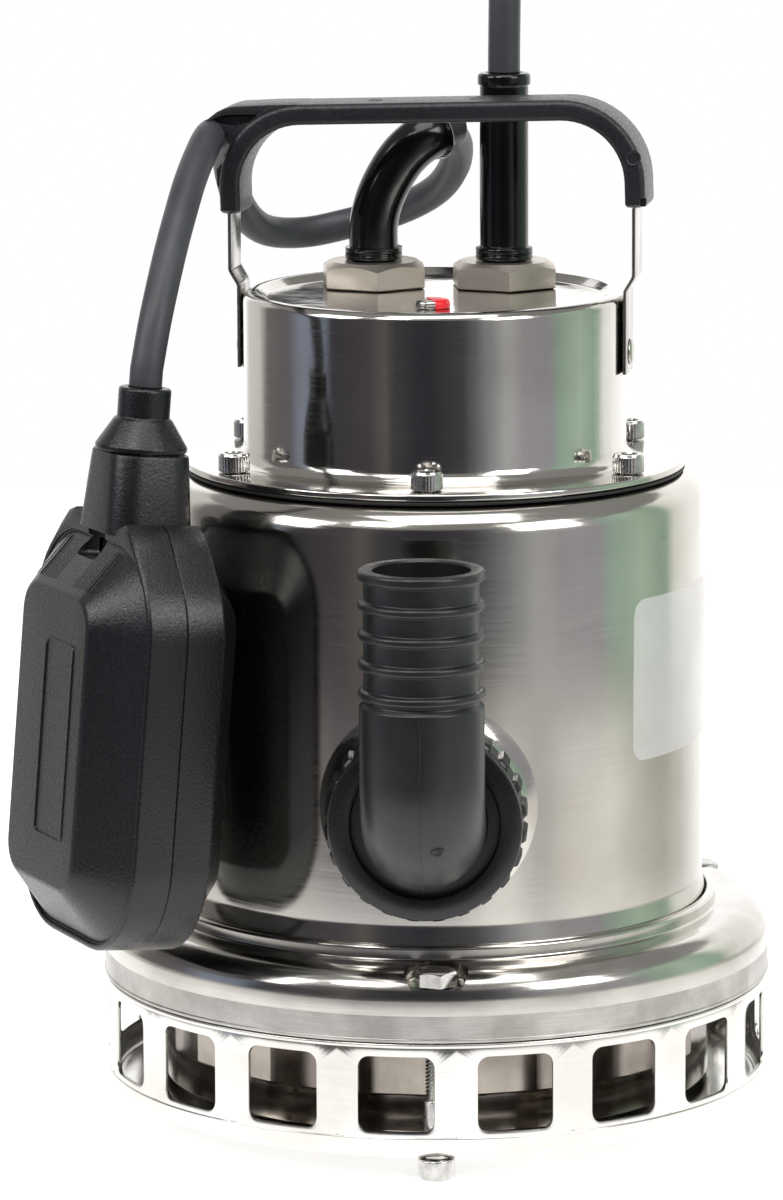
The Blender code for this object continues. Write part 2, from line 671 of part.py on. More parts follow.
SHAFT_END_Z = VANE_BOTTOM_Z - IMPELLER_NUT_HEIGHT


def build_casing(axis):
    """Cup that carries the inlet and the ledge of the outer jacket."""
    outer = JACKET_FOOT_RADIUS + GAP + CASING_WALL
    rim_z = POCKET_FLOOR_Z - COVER_WALL - GAP
    profile = [(outer - CASING_WALL, rim_z), (outer, rim_z), (outer, CASING_BOTTOM_Z + CASING_CORNER),
               (outer - CASING_CORNER, CASING_BOTTOM_Z), (INLET_RADIUS, CASING_BOTTOM_Z),
               (INLET_RADIUS, CASING_BOTTOM_Z + CASING_WALL), (CASING_BORE, CASING_BOTTOM_Z + CASING_WALL),
               (CASING_BORE, CASING_SEAT_Z), (outer - CASING_WALL, CASING_SEAT_Z)]
    turned("pump_casing", profile, "polished steel", axis, SHELL_STEPS)


def build_impeller(axis):
    """Open impeller with swept vanes, and the nut that holds it."""
    bore = SHAFT_WET_RADIUS + GAP
    profile = [(bore, HUB_TOP_Z), (IMPELLER_HUB_RADIUS, HUB_TOP_Z), (IMPELLER_HUB_RADIUS, DISC_TOP_Z),
               (IMPELLER_RADIUS, DISC_TOP_Z), (IMPELLER_RADIUS, DISC_BOTTOM_Z),
               (IMPELLER_HUB_RADIUS, DISC_BOTTOM_Z), (IMPELLER_HUB_RADIUS, VANE_BOTTOM_Z),
               (bore, VANE_BOTTOM_Z)]
    impeller = turned("impeller", profile, "black plastic", axis, SMALL_STEPS)
    vanes = []
    for i in range(VANE_COUNT):
        rings = []
        for k in range(5):
            share = k / 4
            radius = IMPELLER_HUB_RADIUS - GAP * 3 + (IMPELLER_RADIUS * 0.98 - IMPELLER_HUB_RADIUS) * share
            azimuth = i * 360 / VANE_COUNT - VANE_SWEEP * share
            centre = polar(radius, azimuth)
            half = VANE_THICKNESS / 2
            across = polar(half, azimuth + 90 - 45 * share)
            rings.append([centre - across + Vector((0, 0, VANE_BOTTOM_Z)),
                          centre + across + Vector((0, 0, VANE_BOTTOM_Z)),
                          centre + across + Vector((0, 0, DISC_BOTTOM_Z + IMPELLER_DISC / 2)),
                          centre - across + Vector((0, 0, DISC_BOTTOM_Z + IMPELLER_DISC / 2))])
        vanes.append(rings)
    combine(impeller, guide("impeller_vanes", vanes, axis), "UNION")
    nut_top = VANE_BOTTOM_Z - GAP
    nut = hexagon(IMPELLER_NUT_FLATS, TINY_STEPS)
    bore = circle(SHAFT_THREAD_RADIUS + GAP, TINY_STEPS)
    rings = [at_height(nut, SHAFT_END_Z), at_height(nut, nut_top), at_height(bore, nut_top),
             at_height(bore, SHAFT_END_Z)]
    loft("impeller_nut", rings, "zinc", axis, closed=True)


def build_seal(axis):
    """Rotating seal face, its seat and the cover of the oil chamber round it."""
    bore = SHAFT_WET_RADIUS + GAP
    turned("seal_face", ring_profile(bore, SEAL_FACE_RADIUS, SEAL_FACE_Z, SEAL_FACE_Z + SEAL_HEIGHT),
           "gasket", axis, SMALL_STEPS)
    turned("seal_seat", ring_profile(bore + GAP, SEAL_SEAT_RADIUS, SEAL_SEAT_Z,
                                     SEAL_SEAT_Z + SEAL_SEAT_HEIGHT), "seal ceramic", axis, SMALL_STEPS)
    turned("oil_chamber_cover", ring_profile(SEAL_SEAT_RADIUS + GAP, INSERT_RADIUS, OIL_COVER_Z,
                                             OIL_COVER_TOP_Z), "cast aluminium", axis)


# ---- motor -------------------------------------------------------------------------------------------
def build_shaft(axis):
    """Stepped shaft with the rotor core on it."""
    wet_top = SEAL_SEAT_Z + SEAL_SEAT_HEIGHT
    rotor_bottom = LOWER_BEARING_TOP_Z + GAP
    rotor_top = UPPER_PLATE_TOP_Z - BRACKET_PLATE - GAP
    steps = [(SHAFT_THREAD_RADIUS, SHAFT_END_Z, VANE_BOTTOM_Z),
             (SHAFT_WET_RADIUS, VANE_BOTTOM_Z, wet_top),
             (SHAFT_LOWER_RADIUS, wet_top, rotor_bottom),
             (SHAFT_RADIUS, rotor_bottom, rotor_top),
             (SHAFT_UPPER_RADIUS, rotor_top, UPPER_BEARING_TOP_Z)]
    profile = [(0.0, SHAFT_END_Z)]
    for radius, bottom, top in steps:
        profile += [(radius, bottom), (radius, top)]
    profile.append((0.0, UPPER_BEARING_TOP_Z))
    turned("shaft", profile, "satin steel", axis, SMALL_STEPS)
    turned("rotor_core", ring_profile(SHAFT_RADIUS + GAP, ROTOR_RADIUS, CORE_BOTTOM_Z, CORE_TOP_Z),
           "lamination", axis)


def winding_profile(bottom):
    """Rounded section of an end winding."""
    top = bottom + WINDING_HEIGHT
    r0 = WINDING_INNER_RADIUS
    r1 = WINDING_OUTER_RADIUS
    c = WINDING_ROUNDING
    middle = (top + bottom) / 2
    return [(r0 + c, top), (r1 - c, top), (r1, middle), (r1 - c, bottom), (r0 + c, bottom), (r0, middle)]


def build_stator(axis):
    """Stator core and the two end windings."""
    turned("stator_core", ring_profile(ROTOR_RADIUS + AIR_GAP, INSERT_RADIUS, CORE_BOTTOM_Z, CORE_TOP_Z),
           "lamination", axis)
    turned("lower_winding", winding_profile(CORE_BOTTOM_Z - GAP - WINDING_HEIGHT), "copper wire", axis,
           SMALL_STEPS)
    turned("upper_winding", winding_profile(CORE_TOP_Z + GAP), "copper wire", axis, SMALL_STEPS)


def build_brackets(axis):
    """Bearings with the brackets that hold them in the motor housing."""
    seat = LOWER_BEARING_RADIUS + GAP
    hub = seat + BEARING_HUB_WALL
    plate_top = BRACKET_Z + BRACKET_PLATE
    bore = SHAFT_LOWER_RADIUS + BEARING_CLEARANCE
    profile = [(bore, plate_top), (seat, plate_top), (seat, LOWER_BEARING_TOP_Z),
               (hub, LOWER_BEARING_TOP_Z), (hub, plate_top), (INSERT_RADIUS, plate_top),
               (INSERT_RADIUS, OIL_COVER_TOP_Z + GAP), (INSERT_RADIUS - BRACKET_RIM, OIL_COVER_TOP_Z + GAP),
               (INSERT_RADIUS - BRACKET_RIM, BRACKET_Z), (bore, BRACKET_Z)]
    turned("lower_bracket", profile, "cast aluminium", axis)
    turned("lower_bearing", ring_profile(bore, LOWER_BEARING_RADIUS, LOWER_BEARING_Z, LOWER_BEARING_TOP_Z),
           "satin steel", axis, SMALL_STEPS)
    seat = UPPER_BEARING_RADIUS + GAP
    hub = seat + BEARING_HUB_WALL
    bore = SHAFT_UPPER_RADIUS + BEARING_CLEARANCE
    plate_bottom = UPPER_PLATE_TOP_Z - BRACKET_PLATE
    profile = [(bore, UPPER_PLATE_TOP_Z), (seat, UPPER_PLATE_TOP_Z), (seat, UPPER_BEARING_TOP_Z),
               (hub, UPPER_BEARING_TOP_Z), (hub, UPPER_PLATE_TOP_Z), (INSERT_RADIUS, UPPER_PLATE_TOP_Z),
               (INSERT_RADIUS, plate_bottom), (bore, plate_bottom)]
    turned("upper_bracket", profile, "cast aluminium", axis)
    turned("upper_bearing", ring_profile(bore, UPPER_BEARING_RADIUS, UPPER_BEARING_Z, UPPER_BEARING_TOP_Z),
           "satin steel", axis, SMALL_STEPS)


def screw_places():
    """Axes of the cover screws."""
    return [polar(SCREW_CIRCLE, i * 360 / SCREW_COUNT) for i in range(SCREW_COUNT)]


def screw_hole_cutter(axis):
    """One cutter for the screw holes of every flange that the screws go through."""
    return guide("screw_hole_cutters", [drill(place, SCREW_RADIUS + GAP, HOUSING_LIP_Z - GAP,
                                              FLANGE_TOP_Z + GAP) for place in screw_places()], axis)


def build_housing(axis, holes):
    """Motor housing that hangs from its flange inside the jacket."""
    bottom = OIL_COVER_Z - GAP
    profile = [(HOUSING_LIP_RADIUS, HOUSING_TOP_Z), (HOUSING_FLANGE_RADIUS, HOUSING_TOP_Z),
               (HOUSING_FLANGE_RADIUS, HOUSING_LIP_Z), (HOUSING_RADIUS, HOUSING_LIP_Z),
               (HOUSING_RADIUS, bottom), (HOUSING_BORE, bottom), (HOUSING_BORE, HOUSING_LIP_Z),
               (HOUSING_LIP_RADIUS, HOUSING_LIP_Z)]
    combine(turned("motor_housing", profile, "satin steel", axis), holes)


def build_electrics(axis):
    """Insulating plate on the upper bearing hub, with the capacitor on it."""
    plate_z = UPPER_BEARING_TOP_Z + GAP
    plate_top = plate_z + TERMINAL_PLATE
    turned("terminal_plate", disc_profile(CAP_RADIUS - CAP_WALL - GAP, plate_z, plate_top),
           "light plastic", axis)
    can = turned("capacitor", disc_profile(CAPACITOR_RADIUS, plate_top + GAP,
                                           plate_top + GAP + CAPACITOR_HEIGHT), "cast aluminium", axis,
                 SMALL_STEPS)
    can.location = (CAPACITOR_X, CAPACITOR_Y, 0.0)


# ---- outer shell -------------------------------------------------------------------------------------
def build_jacket(axis, holes):
    """Outer jacket with the outlet stub."""
    bottom = CASING_SEAT_Z + GAP
    shoulder_r = JACKET_RADIUS - JACKET_SHOULDER
    shoulder_z = JACKET_TOP_Z - JACKET_SHOULDER
    outer = arc(shoulder_r, shoulder_z, JACKET_SHOULDER, 90, 0, 3)
    inner = arc(shoulder_r, shoulder_z, JACKET_SHOULDER - JACKET_WALL, 0, 90, 2)
    opening = HOUSING_LIP_RADIUS
    profile = [(opening, JACKET_TOP_Z), *outer, (JACKET_WAIST_RADIUS, JACKET_WAIST_Z),
               (JACKET_FOOT_RADIUS, JACKET_FOOT_Z), (JACKET_FOOT_RADIUS, bottom),
               (JACKET_FOOT_RADIUS - JACKET_WALL, bottom), (JACKET_FOOT_RADIUS - JACKET_WALL, JACKET_FOOT_Z),
               (JACKET_WAIST_RADIUS - JACKET_WALL, JACKET_WAIST_Z), *inner,
               (opening, JACKET_TOP_Z - JACKET_WALL)]
    jacket = turned("outer_jacket", profile, "polished steel", axis, SHELL_STEPS)
    outlet = empty("stub_axis", axis, (OUTLET_X, 0.0, OUTLET_Z), (90, 0, 0))
    stub = guide("outlet_stub", [[at_height(circle(STUB_RADIUS, MOTOR_STEPS), STUB_ROOT),
                                  at_height(circle(STUB_RADIUS, MOTOR_STEPS), STUB_END)]], outlet)
    bore = guide("outlet_bore", [[at_height(circle(STUB_BORE, SMALL_STEPS), HOUSING_RADIUS + GAP),
                                  at_height(circle(STUB_BORE, SMALL_STEPS), STUB_END + GAP)]], outlet)
    combine(jacket, stub, "UNION")
    combine(jacket, bore)
    combine(jacket, holes)


def build_gasket(axis):
    """Flat gasket between jacket and motor cover, inside the ring of screws."""
    bottom = JACKET_TOP_Z + GAP
    outer = SCREW_CIRCLE - SCREW_RADIUS - GASKET_INSET
    turned("cover_gasket", ring_profile(HOUSING_LIP_RADIUS, outer, bottom, bottom + GASKET_THICKNESS),
           "gasket", axis, SHELL_STEPS)


def build_motor_cover(axis, holes):
    """Drawn cover: flange, cap and recessed top in one sheet."""
    fillet = arc(CAP_RADIUS + CAP_FILLET, FLANGE_TOP_Z + CAP_FILLET, CAP_FILLET, 180, 270, 2)
    rim_z = CAP_CREST_Z - CAP_RIM_ROUNDING
    outer_rim = arc(CAP_RADIUS - CAP_RIM_ROUNDING, rim_z, CAP_RIM_ROUNDING, 90, 0, 2)
    inner_rim = arc(CAP_RADIUS - CAP_RIM_ROUNDING, rim_z, CAP_RIM_ROUNDING - CAP_WALL, 0, 90, 1)
    bore = CAP_RADIUS - CAP_WALL
    profile = [(0.0, RECESS_FLOOR_Z), (RECESS_RADIUS, RECESS_FLOOR_Z), *outer_rim, *fillet,
               (FLANGE_RADIUS, FLANGE_TOP_Z), (FLANGE_RADIUS, FLANGE_BOTTOM_Z), (bore, FLANGE_BOTTOM_Z),
               *inner_rim, (RECESS_RADIUS, RECESS_FLOOR_Z - CAP_WALL), (0.0, RECESS_FLOOR_Z - CAP_WALL)]
    cover = turned("motor_cover", profile, "polished steel", axis, SHELL_STEPS)
    combine(cover, holes)
    low = RECESS_FLOOR_Z - CAP_WALL * 2
    high = RECESS_FLOOR_Z + CAP_WALL
    entries = [drill(Vector((x, GLAND_Y)), GLAND_SPIGOT_RADIUS + GAP, low, high, SMALL_STEPS)
               for x in (POWER_GLAND_X, FLOAT_GLAND_X)]
    entries.append(drill(Vector((0.0, VENT_Y)), VENT_SHANK_RADIUS + GAP, low, high))
    combine(cover, guide("cover_entry_cutters", entries, axis))
    return cover


def build_cover_screws(axis):
    """Socket-head screws through flange, gasket, jacket and housing."""
    head_z = FLANGE_TOP_Z + GAP
    head_top = head_z + SCREW_HEAD_HEIGHT
    shank = circle(SCREW_RADIUS, TINY_STEPS)
    head = circle(SCREW_HEAD_RADIUS, TINY_STEPS)
    socket = hexagon(SCREW_SOCKET_FLATS, TINY_STEPS)
    for i, place in enumerate(screw_places(), 1):
        rings = [at_height(shank, HOUSING_LIP_Z), at_height(shank, head_z), at_height(head, head_z),
                 at_height(head, head_top), at_height(socket, head_top),
                 at_height(socket, head_top - SCREW_SOCKET_DEPTH)]
        screw = loft(f"cover_screw_{i}", rings, "zinc", axis)
        screw.location = place


def build_vent_screw(axis):
    """Slotted screw in the recessed top."""
    head_z = RECESS_FLOOR_Z + GAP
    head_top = head_z + VENT_HEAD_HEIGHT
    profile = [(0.0, head_top), (VENT_HEAD_RADIUS * 0.9, head_top), (VENT_HEAD_RADIUS, head_top - GAP),
               (VENT_HEAD_RADIUS, head_z), (VENT_SHANK_RADIUS, head_z),
               (VENT_SHANK_RADIUS, head_z - VENT_SHANK_LENGTH), (0.0, head_z - VENT_SHANK_LENGTH)]
    screw = turned("vent_screw", profile, "zinc", axis, TINY_STEPS)
    screw.location = (0.0, VENT_Y, 0.0)
    slot = [(-VENT_HEAD_RADIUS * 2, -VENT_SLOT / 2), (VENT_HEAD_RADIUS * 2, -VENT_SLOT / 2),
            (VENT_HEAD_RADIUS * 2, VENT_SLOT / 2), (-VENT_HEAD_RADIUS * 2, VENT_SLOT / 2)]
    combine(screw, guide("vent_slot", [[at_height(slot, head_top - VENT_SLOT),
                                        at_height(slot, head_top + VENT_SLOT)]], screw))


# ---- cable entries -----------------------------------------------------------------------------------
GLAND_Z = RECESS_FLOOR_Z + GAP
GLAND_TOP_Z = GLAND_Z + GLAND_HEIGHT
BOOT_COLLAR_Z = GLAND_TOP_Z + GAP


def build_glands(axis):
    """Two hexagonal gland nuts, each with a spigot through the top."""
    spigot = circle(GLAND_SPIGOT_RADIUS, TINY_STEPS)
    bore = circle(BOOT_ROOT_RADIUS + GAP * 2, TINY_STEPS)
    nut = hexagon(GLAND_FLATS, TINY_STEPS)
    chamfer = circle(GLAND_FLATS / 2 - GLAND_CHAMFER / 2, TINY_STEPS)
    low = GLAND_Z - GLAND_SPIGOT_LENGTH
    rings = [at_height(spigot, low), at_height(spigot, GLAND_Z), at_height(nut, GLAND_Z),
             at_height(nut, GLAND_TOP_Z - GLAND_CHAMFER), at_height(chamfer, GLAND_TOP_Z),
             at_height(bore, GLAND_TOP_Z), at_height(bore, low)]
    for name, x in (("power_gland_nut", POWER_GLAND_X), ("float_gland_nut", FLOAT_GLAND_X)):
        gland = loft(name, rings, "nickel", axis, closed=True)
        gland.location = (x, GLAND_Y, 0.0)
        gland.rotation_euler.z = math.radians(GLAND_TURN)


def boot_foot():
    """(height, radius) steps of a boot's root and its double collar."""
    half = BOOT_COLLAR_HEIGHT / 2
    waist = (BOOT_COLLAR_RADIUS + BOOT_RADIUS) / 2
    return [(GLAND_Z - GAP * 4, BOOT_ROOT_RADIUS), (BOOT_COLLAR_Z, BOOT_ROOT_RADIUS),
            (BOOT_COLLAR_Z, BOOT_COLLAR_RADIUS), (BOOT_COLLAR_Z + half * 0.8, BOOT_COLLAR_RADIUS),
            (BOOT_COLLAR_Z + half, waist), (BOOT_COLLAR_Z + half * 1.2, BOOT_COLLAR_RADIUS),
            (BOOT_COLLAR_Z + half * 1.8, BOOT_COLLAR_RADIUS), (BOOT_COLLAR_Z + half * 2, BOOT_RADIUS)]


def boot_heading():
    """Direction in which the float cable leaves its boot."""
    return direction(BOOT_BEND[-2], LOOP_ROUTE[0])


def build_boots(axis):
    """Straight boot of the power cable and bent boot of the float cable."""
    lip_z = POWER_BOOT_TOP_Z - POWER_BOOT_LIP_HEIGHT
    steps = [*boot_foot(), (lip_z, BOOT_RADIUS), (lip_z, POWER_BOOT_LIP_RADIUS),
             (POWER_BOOT_TOP_Z, POWER_BOOT_LIP_RADIUS)]
    rings = [at_height(circle(radius, TINY_STEPS), z) for z, radius in steps]
    boot = loft("power_boot", rings, "gloss rubber", axis)
    boot.location = (POWER_GLAND_X, GLAND_Y, 0.0)
    stations = [(Vector((FLOAT_GLAND_X, GLAND_Y, z)), radius) for z, radius in boot_foot()]
    end = Vector(BOOT_BEND[-1])
    last = end - boot_heading() * CORD_STRAIGHT
    bend = [*spline_points([*BOOT_BEND[:-1], last], BOOT_RADIUS), end]
    stations += [(point, BOOT_RADIUS) for point in bend[1:]]
    loft("float_boot", swept_rings(stations, TINY_STEPS), "gloss rubber", axis)


# ---- outlet ------------------------------------------------------------------------------------------
SEAL_START = STUB_END + GAP
ELBOW_START = SEAL_START + PORT_SEAL_THICKNESS + GAP
ELBOW_FLANGE_END = ELBOW_START + ELBOW_FLANGE_THICKNESS
NUT_LIP_START = ELBOW_FLANGE_END + GAP
ELBOW_REACH = NUT_LIP_START + NUT_LIP + ELBOW_NUT_AIR + ELBOW_RADIUS


def elbow_stations():
    """Outer and inner (centre, radius) stations of the elbow, in the outlet's own frame."""
    turn = ELBOW_REACH - ELBOW_BEND
    line = [(0.0, 0.0, ELBOW_START), (0.0, 0.0, ELBOW_FLANGE_END), (0.0, 0.0, ELBOW_FLANGE_END),
            (0.0, 0.0, turn)]
    radii = [ELBOW_FLANGE_RADIUS, ELBOW_FLANGE_RADIUS, ELBOW_RADIUS, ELBOW_RADIUS]
    bend = [(0.0, y, z) for z, y in arc(turn, ELBOW_BEND, ELBOW_BEND, -90, 0, 4)][1:]
    half = TAIL_RING_THICKNESS / 2
    highest = TAIL_TOP - half
    lowest = highest - TAIL_RING_PITCH * (TAIL_RING_COUNT - 1)
    outer = [(point, radius) for point, radius in zip(line, radii)] + [(p, ELBOW_RADIUS) for p in bend]
    outer.append(((0.0, lowest - half * 3, ELBOW_REACH), ELBOW_RADIUS))
    outer.append(((0.0, lowest - half * 2, ELBOW_REACH), TAIL_CORE_RADIUS))
    for i in range(TAIL_RING_COUNT):
        centre = lowest + TAIL_RING_PITCH * i
        top = centre + half * (1.0 if i == TAIL_RING_COUNT - 1 else 0.7)
        outer.append(((0.0, centre - half, ELBOW_REACH), TAIL_CORE_RADIUS))
        outer.append(((0.0, centre - half * 0.7, ELBOW_REACH), TAIL_RING_RADIUS))
        outer.append(((0.0, top, ELBOW_REACH), TAIL_RING_RADIUS))
        if i < TAIL_RING_COUNT - 1:
            outer.append(((0.0, centre + half, ELBOW_REACH), TAIL_CORE_RADIUS))
    inner = [((0.0, 0.0, ELBOW_START), ELBOW_BORE), ((0.0, 0.0, turn), ELBOW_BORE)]
    inner += [(point, ELBOW_BORE) for point in bend]
    inner.append(((0.0, TAIL_TOP, ELBOW_REACH), ELBOW_BORE))
    return outer, inner


def build_outlet(axis):
    """Port seal, union nut and elbow with its hose tail."""
    outlet = empty("outlet_axis", axis, (OUTLET_X, 0.0, OUTLET_Z), (90, 0, 0))
    turned("port_seal", ring_profile(STUB_BORE, STUB_RADIUS - GAP, SEAL_START,
                                     SEAL_START + PORT_SEAL_THICKNESS), "gasket", outlet, SMALL_STEPS)
    front = NUT_LIP_START + NUT_LIP
    back = front - NUT_WIDTH
    ribs = []
    points_per_rib = 3
    for i in range(NUT_RIB_COUNT * points_per_rib):
        angle = math.tau * i / (NUT_RIB_COUNT * points_per_rib)
        radius = NUT_RADIUS - NUT_RIB_DEPTH if i % points_per_rib == 1 else NUT_RADIUS
        ribs.append((radius * math.cos(angle), radius * math.sin(angle)))
    narrow = (NUT_RADIUS - NUT_CHAMFER) / NUT_RADIUS
    slim = [(x * narrow, y * narrow) for x, y in ribs]
    rings = [at_height(ribs, back), at_height(ribs, front - NUT_CHAMFER), at_height(slim, front)]
    nut = loft("union_nut", rings, "black plastic", outlet)
    cavity = ELBOW_FLANGE_RADIUS + GAP * 3
    thread = STUB_RADIUS + GAP
    shapes = [[at_height(circle(NUT_OPENING, MOTOR_STEPS), back), at_height(circle(NUT_OPENING, MOTOR_STEPS),
                                                                            front + GAP)],
              [at_height(circle(max(thread, cavity), MOTOR_STEPS), back - GAP),
               at_height(circle(max(thread, cavity), MOTOR_STEPS), NUT_LIP_START)]]
    for i, shape in enumerate(shapes, 1):
        combine(nut, guide(f"union_nut_bore_{i}", [shape], outlet))
    outer, inner = elbow_stations()
    rings = swept_rings(outer, ELBOW_SIDES) + list(reversed(swept_rings(inner, ELBOW_SIDES)))
    loft("elbow", rings, "black plastic", outlet, closed=True)


# ---- handle ------------------------------------------------------------------------------------------
def in_plane(outline, front, back):
    """Rings of a plate whose outline lies in a frame's XZ plane, between two Y places."""
    return [[Vector((x, y, z)) for x, z in outline] for y in (front, back)]


def build_grip(frame, level_frame):
    """Moulded grip with the clip that holds the float cable; the cable's seat is cut level."""
    inner_half = GRIP_HALF_WIDTH - GRIP_THICKNESS
    centre_u = GRIP_HALF_WIDTH - GRIP_CORNER
    centre_z = GRIP_TOP_Z - GRIP_CORNER
    inner_corner = GRIP_CORNER - GRIP_THICKNESS
    outline = [(-GRIP_HALF_WIDTH, GRIP_LEG_END_Z), (-inner_half, GRIP_LEG_END_Z),
               *arc(-centre_u, centre_z, inner_corner, 180, 90, 5),
               *arc(centre_u, centre_z, inner_corner, 90, 0, 5),
               (inner_half, GRIP_LEG_END_Z), (GRIP_HALF_WIDTH, GRIP_LEG_END_Z),
               *arc(centre_u, centre_z, GRIP_CORNER, 0, 90, 6),
               *arc(-centre_u, centre_z, GRIP_CORNER, 90, 180, 6)]
    half = GRIP_DEPTH / 2
    grip = loft("handle_grip", in_plane(outline, -half, half), "black plastic", frame)
    edges = grip.modifiers.new("edges", "BEVEL")
    edges.width = GRIP_EDGE
    edges.segments = 1
    edges.limit_method = "ANGLE"
    edges.angle_limit = math.radians(60)
    plate_end = GRIP_TOP_Z - CLIP_PLATE - CLIP_TIP_DROP
    plate = [(-centre_u, GRIP_TOP_Z - CLIP_PLATE), (-CLIP_TIP + CLIP_TIP_DROP, plate_end),
             (-CLIP_TIP, plate_end), (-CLIP_TIP, plate_end + CLIP_TIP_DROP / 2),
             (-CLIP_TIP + CLIP_PLATE, GRIP_TOP_Z - CLIP_TIP_DROP),
             (-CLIP_TIP + CLIP_PLATE * 3, GRIP_TOP_Z - GAP), (-centre_u, GRIP_TOP_Z - GAP)]
    inset = GRIP_EDGE / 2
    leg_middle = -GRIP_HALF_WIDTH + GRIP_THICKNESS / 2
    web = [(-centre_u, GRIP_TOP_Z - GRIP_THICKNESS / 2), (-centre_u, GRIP_TOP_Z - CLIP_PLATE / 2),
           (-CLIP_TIP + CLIP_PLATE, GRIP_TOP_Z - CLIP_PLATE), (-GRIP_HALF_WIDTH + GAP, CLIP_CABLE_Z),
           (leg_middle, CLIP_CABLE_Z - GRIP_THICKNESS)]
    finger = [(-CLIP_TIP, CLIP_FINGER_Z), (leg_middle, CLIP_FINGER_Z - CLIP_TIP_DROP),
              (leg_middle, CLIP_FINGER_Z + CLIP_FINGER_HEIGHT),
              (-CLIP_TIP + CLIP_TIP_DROP, CLIP_FINGER_Z + CLIP_FINGER_HEIGHT)]
    clip_pieces = guide("clip_pieces", [in_plane(plate, -half + inset, half - inset)], frame)
    web_piece = guide("clip_web", [in_plane(web, -half + 0.003, half - 0.003)], frame)
    finger_piece = guide("clip_finger", [in_plane(finger, half - inset - CLIP_FINGER_DEPTH, half - inset)],
                         frame)
    seat = [(CLIP_CABLE_U + x, CLIP_CABLE_Z + z) for x, z in circle(CORD_RADIUS + CLIP_AIR, SMALL_STEPS)]
    combine(grip, clip_pieces, "UNION")
    combine(grip, web_piece, "UNION")
    combine(grip, finger_piece, "UNION")
    seat_cutter = guide("cable_seat", [in_plane(seat, -GRIP_DEPTH, GRIP_DEPTH)], level_frame)
    combine(grip, seat_cutter)


def strip_outline(side, top_z):
    """Edge-on outline of a handle strip, from its top down the outside and back up the inside."""
    high = GRIP_HALF_WIDTH - GRIP_THICKNESS / 2
    low = CAP_RADIUS + GAP + STRIP_THICKNESS / 2
    half = STRIP_THICKNESS / 2
    middle = [(high, top_z), (high, STRIP_JOG_TOP_Z), (low, STRIP_JOG_BOTTOM_Z), (low, STRIP_END_Z)]
    outside = [(side * (u + half), z) for u, z in middle]
    inside = [(side * (u - half), z) for u, z in reversed(middle)]
    return outside + inside


def build_handle(axis, cover):
    """Grip, the two strips that carry it and their rivets."""
    turned_frame = empty("handle_frame", axis, (0, 0, 0), (0, 0, HANDLE_TURN))
    middle_z = GRIP_TOP_Z - GRIP_THICKNESS
    pivot = empty("grip_tilt", turned_frame, (0, 0, middle_z), (0, HANDLE_TILT, 0))
    grip_frame = empty("grip_frame", pivot, (0, 0, -middle_z))
    build_grip(grip_frame, turned_frame)
    outer_face = CAP_RADIUS + GAP + STRIP_THICKNESS + GAP
    hole_rings = []
    for side in (-1, 1):
        bore = [Vector((0.0, y, RIVET_Z + z)) for y, z in circle(RIVET_SHANK_RADIUS + GAP, TINY_STEPS)]
        hole_rings.append([[point + Vector((side * u, 0, 0)) for point in bore]
                           for u in (CAP_RADIUS - CAP_WALL * 3, outer_face + GAP * 3)])
    holes = guide("rivet_holes", hole_rings, turned_frame)
    combine(cover, holes)
    for side, name in ((-1, "left"), (1, "right")):
        lean = math.tan(math.radians(HANDLE_TILT)) * (GRIP_HALF_WIDTH - GRIP_THICKNESS / 2) * -side
        top_z = GRIP_LEG_END_Z + lean - GAP * 1.5
        half = STRIP_WIDTH / 2
        strip = loft(f"{name}_strip", in_plane(strip_outline(side, top_z), -half, half), "satin steel",
                     turned_frame)
        combine(strip, holes)
        inner_end = CAP_RADIUS - CAP_WALL - GAP
        profile = [(0.0, outer_face + RIVET_HEAD_HEIGHT),
                   (RIVET_HEAD_RADIUS * 0.7, outer_face + RIVET_HEAD_HEIGHT * 0.8),
                   (RIVET_HEAD_RADIUS, outer_face), (RIVET_SHANK_RADIUS, outer_face),
                   (RIVET_SHANK_RADIUS, inner_end), (0.0, inner_end)]
        rivet = turned(f"{name}_rivet", profile, "satin steel", turned_frame, TINY_STEPS)
        rivet.location.z = RIVET_Z
        rivet.rotation_euler.y = math.radians(90 * side)


# ---- float switch ------------------------------------------------------------------------------------
FLOAT_TURN = (-FLOAT_LEAN, 0.0, FLOAT_AZIMUTH)


def float_matrix():
    """Placement of the float's frame: X across, -Y out of the label, Z up its length."""
    lean = Matrix.Rotation(math.radians(-FLOAT_LEAN), 4, "X")
    turn = Matrix.Rotation(math.radians(FLOAT_AZIMUTH), 4, "Z")
    return Matrix.Translation(FLOAT_CENTRE) @ turn @ lean


def shell_rings(side):
    """Rings of one float half, from its inner flat out over the seam to its outer flat."""
    band = FLOAT_BAND / 2
    face = FLOAT_THICKNESS / 2
    wall = FLOAT_WALL
    seam = GAP / 2
    inner_edge = rounded_rectangle(FLOAT_WIDTH - 2 * wall, FLOAT_HEIGHT - 2 * wall, FLOAT_CORNER - wall)
    inner_flat = rounded_rectangle(LABEL_WIDTH - wall, LABEL_HEIGHT - wall, LABEL_CORNER - wall / 2)
    outer_edge = rounded_rectangle(FLOAT_WIDTH, FLOAT_HEIGHT, FLOAT_CORNER)
    outer_flat = rounded_rectangle(LABEL_WIDTH, LABEL_HEIGHT, LABEL_CORNER)
    levels = [(inner_flat, face - wall), (inner_edge, band - wall / 2), (inner_edge, seam),
              (outer_edge, seam), (outer_edge, band), (outer_flat, face)]
    return [[Vector((x, side * y, z)) for x, z in outline] for outline, y in levels]


